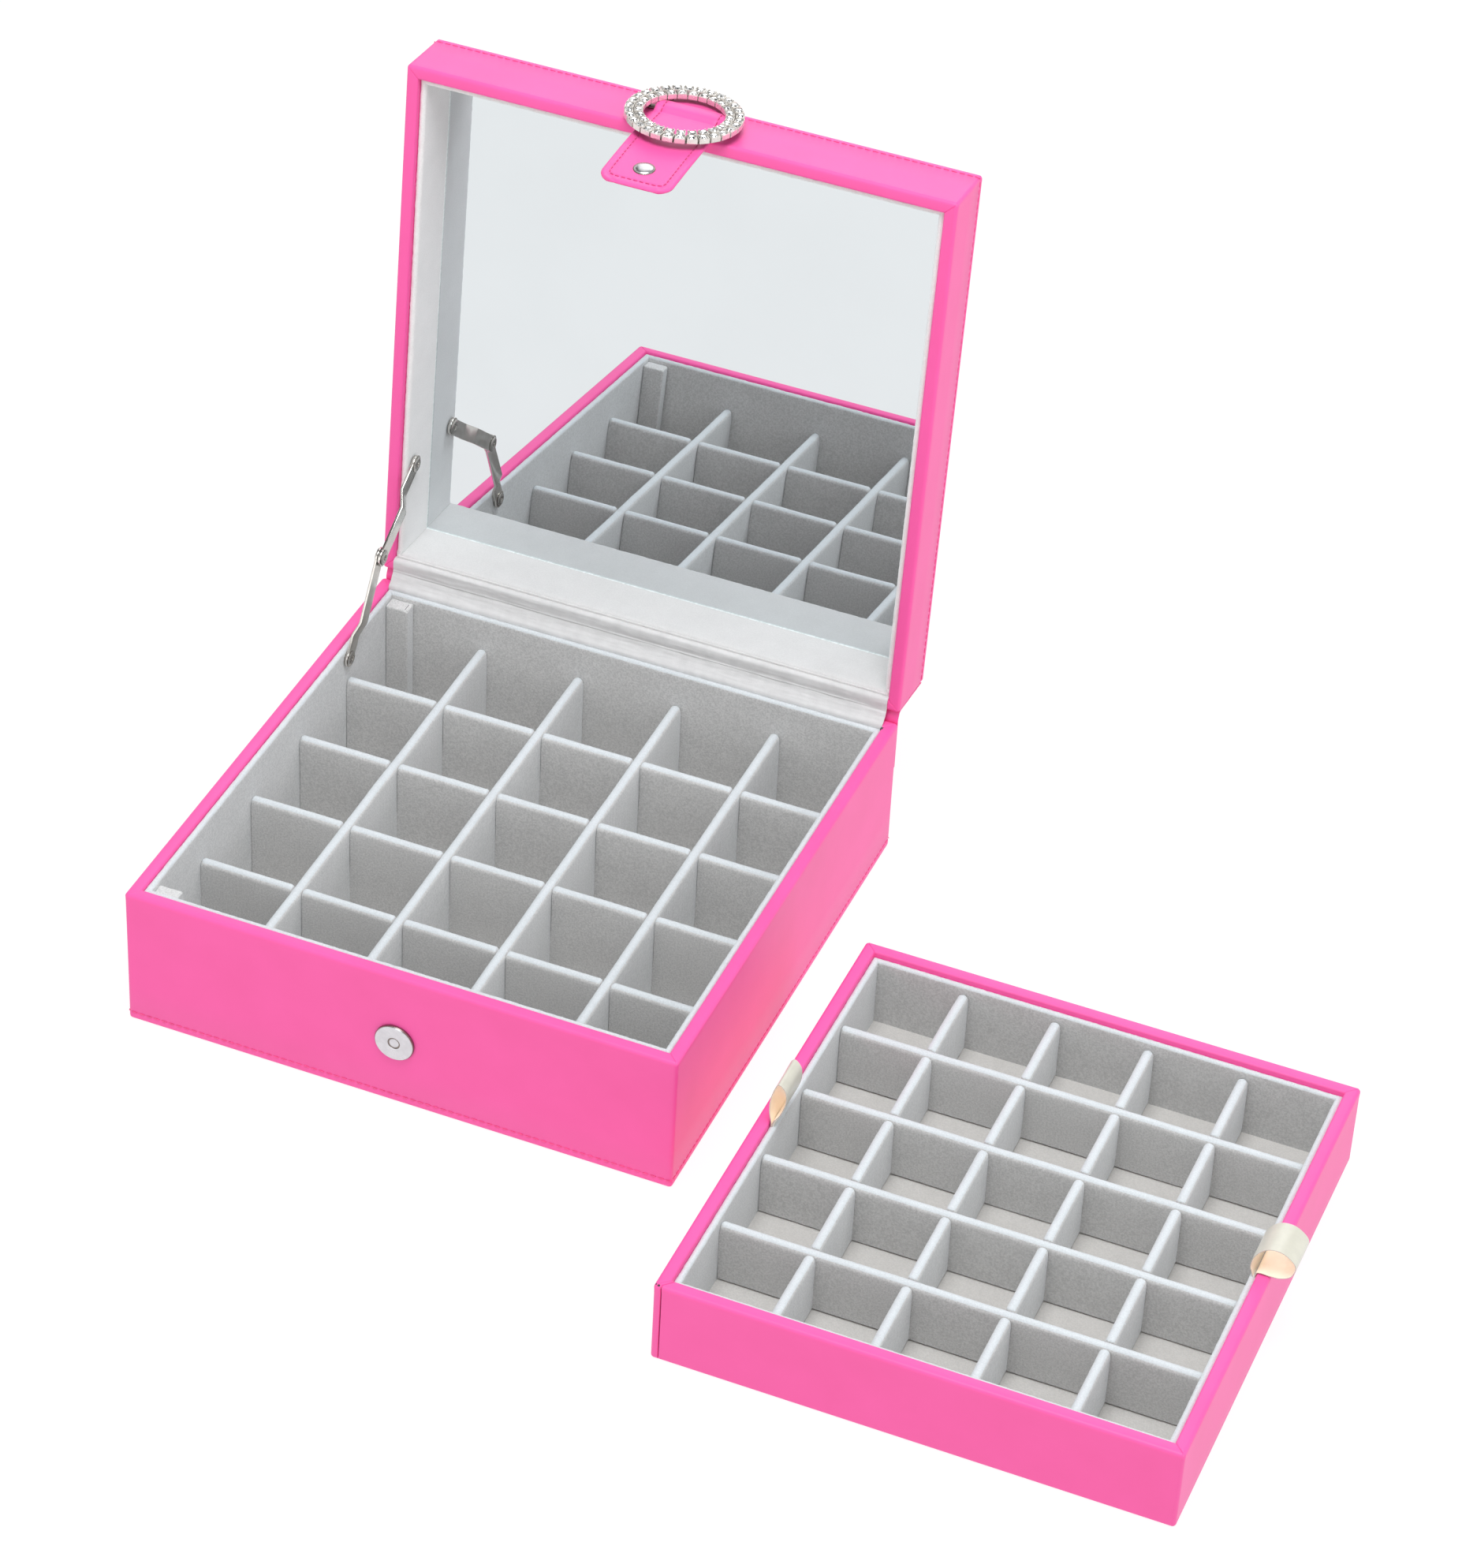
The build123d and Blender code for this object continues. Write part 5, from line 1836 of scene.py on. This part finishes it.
class EARRINGBOX_OT_ring(bpy.types.Operator):
    """Make the ring: plated frame, two rows of claw cups, and faceted stones"""

    bl_idname = "earringbox.ring"
    bl_label = "Ring"

    def execute(self, context):
        t = trim()
        chrome, clear = chrome_material(), stone_material()
        frame_piece = ring_bar()
        frame_piece.data.transform(ring_frame())
        settle(frame_piece, "lid", "ring_chrome", ["ring_frame"])
        rows = ((t.outer_stones, *OUTER_ROW), (t.inner_stones, *INNER_ROW))
        cups, stones = [], []
        for number, (count, radius, across) in enumerate(rows):
            cup = cup_mesh(chrome, CUP_DEPTH, across)
            cups.append(ring_row(f"cups_{number}", cup, count, radius, 0.02, 0.0, 4 + number))
            stone = stone_mesh(clear, STONE_RADIUS)
            stones.append(ring_row(f"stones_{number}", stone, count, radius, 0.07, 3.0, 11 + number))
        for name, parts, material, node, slot in (
            ("ring_claw_cups", cups, chrome, "ring_cups", "ring_chrome"),
            ("ring_faceted_stones", stones, clear, "ring_stones", "clear_stone"),
        ):
            piece = join_meshes(name, parts, material)
            piece.data.transform(ring_frame())
            settle(piece, "lid", slot, [node])
        return {"FINISHED"}


# Stay

LINER_FACE = 102.4 * MM
STAY_LINK = 41.5 * MM
LINK_WIDTH = 6.5 * MM
LINK_EYE = 3.75 * MM
LINK_HOLE = 1.5 * MM
LINK_THICK = 1.0 * MM
STAY_BASE = (61.8 * MM, 54.6 * MM)
STAY_LID = (63.6 * MM, 7.4 * MM)


def stay_pivots():
    """Side view (y, z) of the base, middle and lid pivots in the open pose."""
    lid = lid_frame() @ Vector((0, STAY_LID[0], STAY_LID[1]))
    base, far = Vector(STAY_BASE), Vector((lid.y, lid.z))
    chord = far - base
    turn = math.acos(chord.length / 2 / STAY_LINK)
    lower = math.atan2(chord.y, chord.x) + turn
    middle = base + Vector((math.cos(lower), math.sin(lower))) * STAY_LINK
    return base, middle, far


def link_outline():
    """Outline of a link with round ends, and its two holes, as lists of points."""
    neck = math.degrees(math.asin(LINK_WIDTH / 2 / LINK_EYE))
    outline = arc(STAY_LINK, 0.0, LINK_EYE, -180 + neck, 180 - neck, 22)
    outline += arc(0.0, 0.0, LINK_EYE, neck, 360 - neck, 22)
    holes = [arc(x, 0.0, LINK_HOLE, 360, 0, 16)[:-1] for x in (0.0, STAY_LINK)]
    return outline, holes


def stay_link(name, pivot, toward, layers, bends, material):
    """Stamped link between two pivots that steps from one layer to another."""
    outline, holes = link_outline()
    bm = bmesh.new()
    edges = []
    for loop in [outline] + holes:
        ring = [bm.verts.new((x, y, 0.0)) for x, y in loop]
        edges += [bm.edges.new((a, b)) for a, b in zip(ring, ring[1:] + ring[:1])]
    bmesh.ops.triangle_fill(bm, use_beauty=True, use_dissolve=False, edges=edges)
    low, high = bends
    cuts = (low - 0.4 * MM, low + 0.5 * MM, (low + high) / 2, high - 0.5 * MM, high + 0.4 * MM)
    for cut in cuts:
        geom = bm.verts[:] + bm.edges[:] + bm.faces[:]
        bmesh.ops.bisect_plane(bm, geom=geom, plane_co=(cut, 0, 0), plane_no=(1, 0, 0))
    top = bmesh.ops.extrude_face_region(bm, geom=bm.faces[:])
    moved = [v for v in top["geom"] if isinstance(v, bmesh.types.BMVert)]
    bmesh.ops.translate(bm, verts=moved, vec=(0, 0, LINK_THICK))
    bmesh.ops.recalc_face_normals(bm, faces=bm.faces)
    rims = [e for e in bm.edges if len(e.link_faces) == 2 and e.calc_face_angle() > math.radians(60)]
    bmesh.ops.bevel(bm, geom=rims, offset=0.16 * MM, segments=2, affect="EDGES", profile=0.6)
    for v in bm.verts:
        share = min(1.0, max(0.0, (v.co.x - low) / (high - low)))
        v.co.z += layers[0] + (layers[1] - layers[0]) * share
    along = (toward - pivot).normalized()
    x_axis = Vector((0, along.x, along.y))
    z_axis = Vector((1, 0, 0))
    y_axis = z_axis.cross(x_axis)
    rotation = Matrix((x_axis, y_axis, z_axis)).transposed().to_4x4()
    place = Matrix.Translation((-LINER_FACE, pivot.x, pivot.y)) @ rotation
    mesh = bpy.data.meshes.new(name)
    bm.transform(place)
    bm.to_mesh(mesh)
    bm.free()
    return make_object(name, mesh, material, 30)


def eyelet(name, pivot, low, high, material, washer=None):
    """Eyelet rivet along X with a rolled head, and a washer on the wall where there is one."""
    head = [
        (0.0, high - 0.9), (0.9, high - 0.9), (1.05, high - 0.2), (1.35, high), (1.9, high - 0.03),
        (2.7, high - 0.25), (3.1, high - 0.48), (3.05, high - 0.64), (1.45, high - 0.66),
    ]
    foot = [
        (1.45, low + 0.6), (2.6, low + 0.58), (2.75, low + 0.35), (2.5, low + 0.1), (1.2, low), (0.0, low)
    ]
    if washer:
        rise = ((1.45, 0.27), (3.4, 0.27), (3.6, 0.15), (3.6, 0.02), (1.45, 0.0))
        foot = [(r, washer + up) for r, up in rise] + [(1.45, low), (0.0, low)]
    origin = Vector((-LINER_FACE, pivot.x, pivot.y))
    return lathe(name, head + foot, origin, (1, 0, 0), material, 40, 40)


class EARRINGBOX_OT_stay(bpy.types.Operator):
    """Make the folding stay: two stepped links and three eyelet rivets"""

    bl_idname = "earringbox.stay"
    bl_label = "Stay"

    def execute(self, context):
        steel = metal_material("stay_finish", tuple(colours().nickel), 0.2, 0.26, 0.015)
        dark = metal_material("rivet_finish", tuple(0.72 * c for c in colours().nickel), 0.2, 0.3, 0.015)
        base, middle, far = stay_pivots()
        lower = stay_link(
            "stay_lower_strip", base, middle, (0.4 * MM, 2.4 * MM), (9.0 * MM, 14.5 * MM), steel
        )
        settle(lower, "stay_lower", "stay_steel", ["stay_lower_link"])
        upper = stay_link(
            "stay_upper_strip", middle, far, (3.7 * MM, 0.7 * MM), (21.5 * MM, 28.5 * MM), steel
        )
        settle(upper, "stay_upper", "stay_steel", ["stay_upper_link"])
        for name, pivot, low, high, washer, body in (
            ("base", base, -1.5, 2.2, 0.05, "base"),
            ("mid", middle, 1.8, 5.5, None, "stay_lower"),
            ("lid", far, 0.36, 2.45, 0.37, "stay_upper"),
        ):
            rivet = eyelet(f"stay_{name}_eyelet", pivot, low, high, dark, washer)
            settle(rivet, body, "stay_steel", [f"stay_{name}_rivet"])
        return {"FINISHED"}


# Ribbons

RIBBON_THICK = 0.32 * MM
RIBBON_STEPS = 20
LEFT_LOOP = (
    (5.7, 28.0), (5.62, 31.5), (5.6, 35.0), (4.75, 40.0), (4.95, 46.5), (7.4, 53.4), (10.3, 51.0),
    (10.6, 45.5), (8.8, 39.5), (6.5, 35.4), (6.1, 32.0), (6.05, 28.0),
)
RIGHT_LOOP = (
    (6.05, 28.0), (6.1, 31.5), (6.9, 34.6), (7.7, 37.5), (6.6, 42.5), (2.5, 47.0), (-3.2, 47.5),
    (-8.0, 43.5), (-7.2, 38.4), (-3.6, 36.0), (0.5, 35.45), (3.7, 35.5), (5.3, 34.8), (5.65, 32.0),
    (5.7, 28.0),
)


def ribbon_loop(name, points, side):
    """Satin ribbon bent into a loop over the tray's side wall."""
    edge = TRAY_PLACE[0] + side * sizes().tray_width / 2
    path = smooth_path([Vector((edge - side * x * MM, z * MM)) for x, z in points], 0.5 * MM)
    count, half = RIBBON_STEPS, trim().ribbon_width / 2
    rows = len(path)
    verts = []
    for layer in (1, -1):
        for i, point in enumerate(path):
            normal = path_normal(path, i)
            share = math.sin(math.pi * i / (rows - 1)) ** 2
            skew = 0.35 * MM * share * noise.noise(Vector((0, i * 0.04, side * 3)))
            for k in range(count + 1):
                y = -half + 2 * half * k / count
                ripple = 0.22 * MM * share * noise.noise(Vector((y * 90, i * 0.03, side)))
                offset = normal * (layer * RIBBON_THICK / 2 + ripple)
                verts.append((point.x + offset.x, TRAY_PLACE[1] + y + skew, point.y + offset.y))
    piece = make_piece(name, verts, sheet_faces(rows, count), ribbon_material())
    # Faces that look into the loop take the inside painted lighter with a warm glow, as painted light.
    piece.data.materials.append(ribbon_material(True))
    middle = sum(path, Vector((0, 0))) / rows
    for face in piece.data.polygons:
        toward = middle - Vector((face.center.x, face.center.z))
        if face.normal.x * toward.x + face.normal.z * toward.y > 0 and abs(face.normal.y) < 0.5:
            face.material_index = 1
    return piece, path_length(path)


class EARRINGBOX_OT_ribbons(bpy.types.Operator):
    """Make the two satin lifting loops of the tray"""

    bl_idname = "earringbox.ribbons"
    bl_label = "Ribbons"

    def execute(self, context):
        for name, points, side, node in (
            ("left", LEFT_LOOP, -1, "tray_ribbon_left"),
            ("right", RIGHT_LOOP, 1, "tray_ribbon_right"),
        ):
            piece, length = ribbon_loop(f"ribbon_{name}_satin", points, side)
            settle(piece, "tray", "satin_ribbon", [node])
        return {"FINISHED"}


# Boards inside the walls

class EARRINGBOX_OT_boards(bpy.types.Operator):
    """Give the boards inside the walls and the hidden washer their finish"""

    bl_idname = "earringbox.boards"
    bl_label = "Boards"

    def execute(self, context):
        for name, node in NODES.items():
            if "_wall" in name or "_board" in name or name == "snap_socket_washer":
                node.data.materials.clear()
                finish = nickel_material() if "washer" in name else board_material()
                node.data.materials.append(finish)
        return {"FINISHED"}


# Studio

CAMERA_PLACE = (0.59011, -1.35525, 1.24256)
CAMERA_TURN = (51.6420, -2.5027, 22.4786)
CAMERA_LENS = 115.587
CAMERA_SENSOR = 36.0
CAMERA_REACH = 50.0
WORLD_STRENGTH = 0.47
FLOOR_HALF = 14.0
WHITE = (1.0, 1.0, 1.0)
LIGHT_TARGET = Vector((0.06, -0.02, 0.08))
LIGHTS = (
    ("top_light", (0.25, -0.45, 2.2), 1.1, 34.0, (0.94, 0.975, 1.0)),
    ("right_light", (1.6, 0.3, 1.0), 1.2, 7.2, (0.97, 0.985, 1.0)),
    ("front_light", (-0.3, -2.0, 0.6), 1.6, 6.0, WHITE),
    ("back_light", (-0.4, 1.9, 1.5), 1.4, 10.0, WHITE),
)


def area_light(name, place, size, power, colour):
    """Soft square light that points at the boxes."""
    light = bpy.data.lights.new(name, "AREA")
    light.shape = "SQUARE"
    light.size = size
    light.energy = power
    light.color = colour
    lamp = bpy.data.objects.new(name, light)
    lamp.location = place
    lamp.rotation_euler = (LIGHT_TARGET - Vector(place)).to_track_quat("-Z", "Y").to_euler()
    bpy.context.scene.collection.objects.link(lamp)


def floor_material():
    """Pale studio floor that stays white."""
    colour = tuple(colours().floor)
    material, tree, shader = new_material(
        "studio_floor", Roughness=0.85, Specular_IOR_Level=0.1, Emission_Color=(*WHITE, 1.0),
        Emission_Strength=0.9,
    )
    nap = use_group(tree, pile(), Vector=object_vector(tree), Fibre_Scale=60.0, Brush_Scale=2.0)
    paint(tree, shader, nap.outputs["Brush"], shade_of(colour, 0.99), shade_of(colour, 1.0))
    return material


class EARRINGBOX_OT_studio(bpy.types.Operator):
    """Set the camera, the pale floor and the soft lights"""

    bl_idname = "earringbox.studio"
    bl_label = "Studio"

    def execute(self, context):
        scene = context.scene
        scene.view_settings.view_transform = "Standard"
        scene.view_settings.look = "None"
        camera_data = bpy.data.cameras.new("camera")
        camera_data.lens = CAMERA_LENS
        camera_data.sensor_width = CAMERA_SENSOR
        camera_data.clip_end = CAMERA_REACH
        camera = bpy.data.objects.new("camera", camera_data)
        camera.location = CAMERA_PLACE
        camera.rotation_euler = [math.radians(a) for a in CAMERA_TURN]
        scene.collection.objects.link(camera)
        scene.camera = camera
        world = bpy.data.worlds.new("studio")
        world.use_nodes = True
        tree = world.node_tree
        back = tree.nodes["Background"]
        back.inputs["Strength"].default_value = WORLD_STRENGTH
        where = tree.nodes.new("ShaderNodeTexCoord").outputs["Generated"]
        panels = add_node(tree, "ShaderNodeTexNoise", {"Vector": where, "Scale": 2.6, "Detail": 0.0})
        rise = add_node(tree, "ShaderNodeSeparateXYZ", {"Vector": where})
        low_sky = add_node(
            tree, "ShaderNodeMapRange", {"Value": rise.outputs["Z"], "From Min": 0.45, "From Max": 0.2}
        )
        shared = add_node(
            tree, "ShaderNodeMath", {0: panels.outputs["Fac"], 1: low_sky.outputs[0]}, operation="ADD"
        )
        split = add_node(
            tree, "ShaderNodeMapRange", {"Value": shared.outputs[0], "From Min": 0.44, "From Max": 0.54}
        )
        sky = mix_colour(tree, split.outputs[0], (0.05, 0.045, 0.04, 1.0), (1.7, 1.7, 1.7, 1.0))
        path = tree.nodes.new("ShaderNodeLightPath").outputs["Is Glossy Ray"]
        shown = mix_colour(tree, path, (0.975, 0.99, 1.0, 1.0), sky)
        tree.links.new(shown, back.inputs["Color"])
        scene.world = world
        corners = [(x * FLOOR_HALF, y * FLOOR_HALF, 0.0) for x, y in ((-1, -1), (1, -1), (1, 1), (-1, 1))]
        floor = make_piece("floor", corners, [(0, 1, 2, 3)], floor_material(), faces_out=False)
        for light in LIGHTS:
            area_light(*light)
        return {"FINISHED"}


# Panel and registration

STEPS = (
    EARRINGBOX_OT_studio,
    EARRINGBOX_OT_boards,
    EARRINGBOX_OT_base_covering,
    EARRINGBOX_OT_lid_covering,
    EARRINGBOX_OT_tray_covering,
    EARRINGBOX_OT_base_velvet,
    EARRINGBOX_OT_lid_velvet,
    EARRINGBOX_OT_tray_velvet,
    EARRINGBOX_OT_mirror,
    EARRINGBOX_OT_hinge,
    EARRINGBOX_OT_strap,
    EARRINGBOX_OT_snap,
    EARRINGBOX_OT_ring,
    EARRINGBOX_OT_stay,
    EARRINGBOX_OT_ribbons,
)


class EARRINGBOX_PT_panel(bpy.types.Panel):
    """Lists the sizes, colours and steps of the earring box"""

    bl_idname = "EARRINGBOX_PT_panel"
    bl_label = "Earring Box"
    bl_space_type = "VIEW_3D"
    bl_region_type = "UI"
    bl_category = "Earring Box"

    def draw(self, context):
        layout = self.layout
        for group in (sizes(), trim(), colours()):
            column = layout.column(align=True)
            for key in group.__annotations__:
                column.prop(group, key)
        for step in STEPS:
            layout.operator(step.bl_idname)


GROUPS = (
    ("earring_box_sizes", BoxSizes),
    ("earring_box_trim", BoxTrim),
    ("earring_box_colours", BoxColours),
)


def register():
    """Register the settings, operators and panel."""
    for key, group in GROUPS:
        bpy.utils.register_class(group)
        setattr(bpy.types.Scene, key, PointerProperty(type=group))
    for step in STEPS:
        bpy.utils.register_class(step)
    bpy.utils.register_class(EARRINGBOX_PT_panel)


def unregister():
    """Unregister everything again."""
    bpy.utils.unregister_class(EARRINGBOX_PT_panel)
    for step in reversed(STEPS):
        bpy.utils.unregister_class(step)
    for key, group in reversed(GROUPS):
        delattr(bpy.types.Scene, key)
        bpy.utils.unregister_class(group)


def main():
    """Build every piece in order."""
    register()
    for step in STEPS:
        group, action = step.bl_idname.split(".")
        getattr(getattr(bpy.ops, group), action)()
    bpy.context.view_layer.update()


if __name__ == "__main__":
    main()
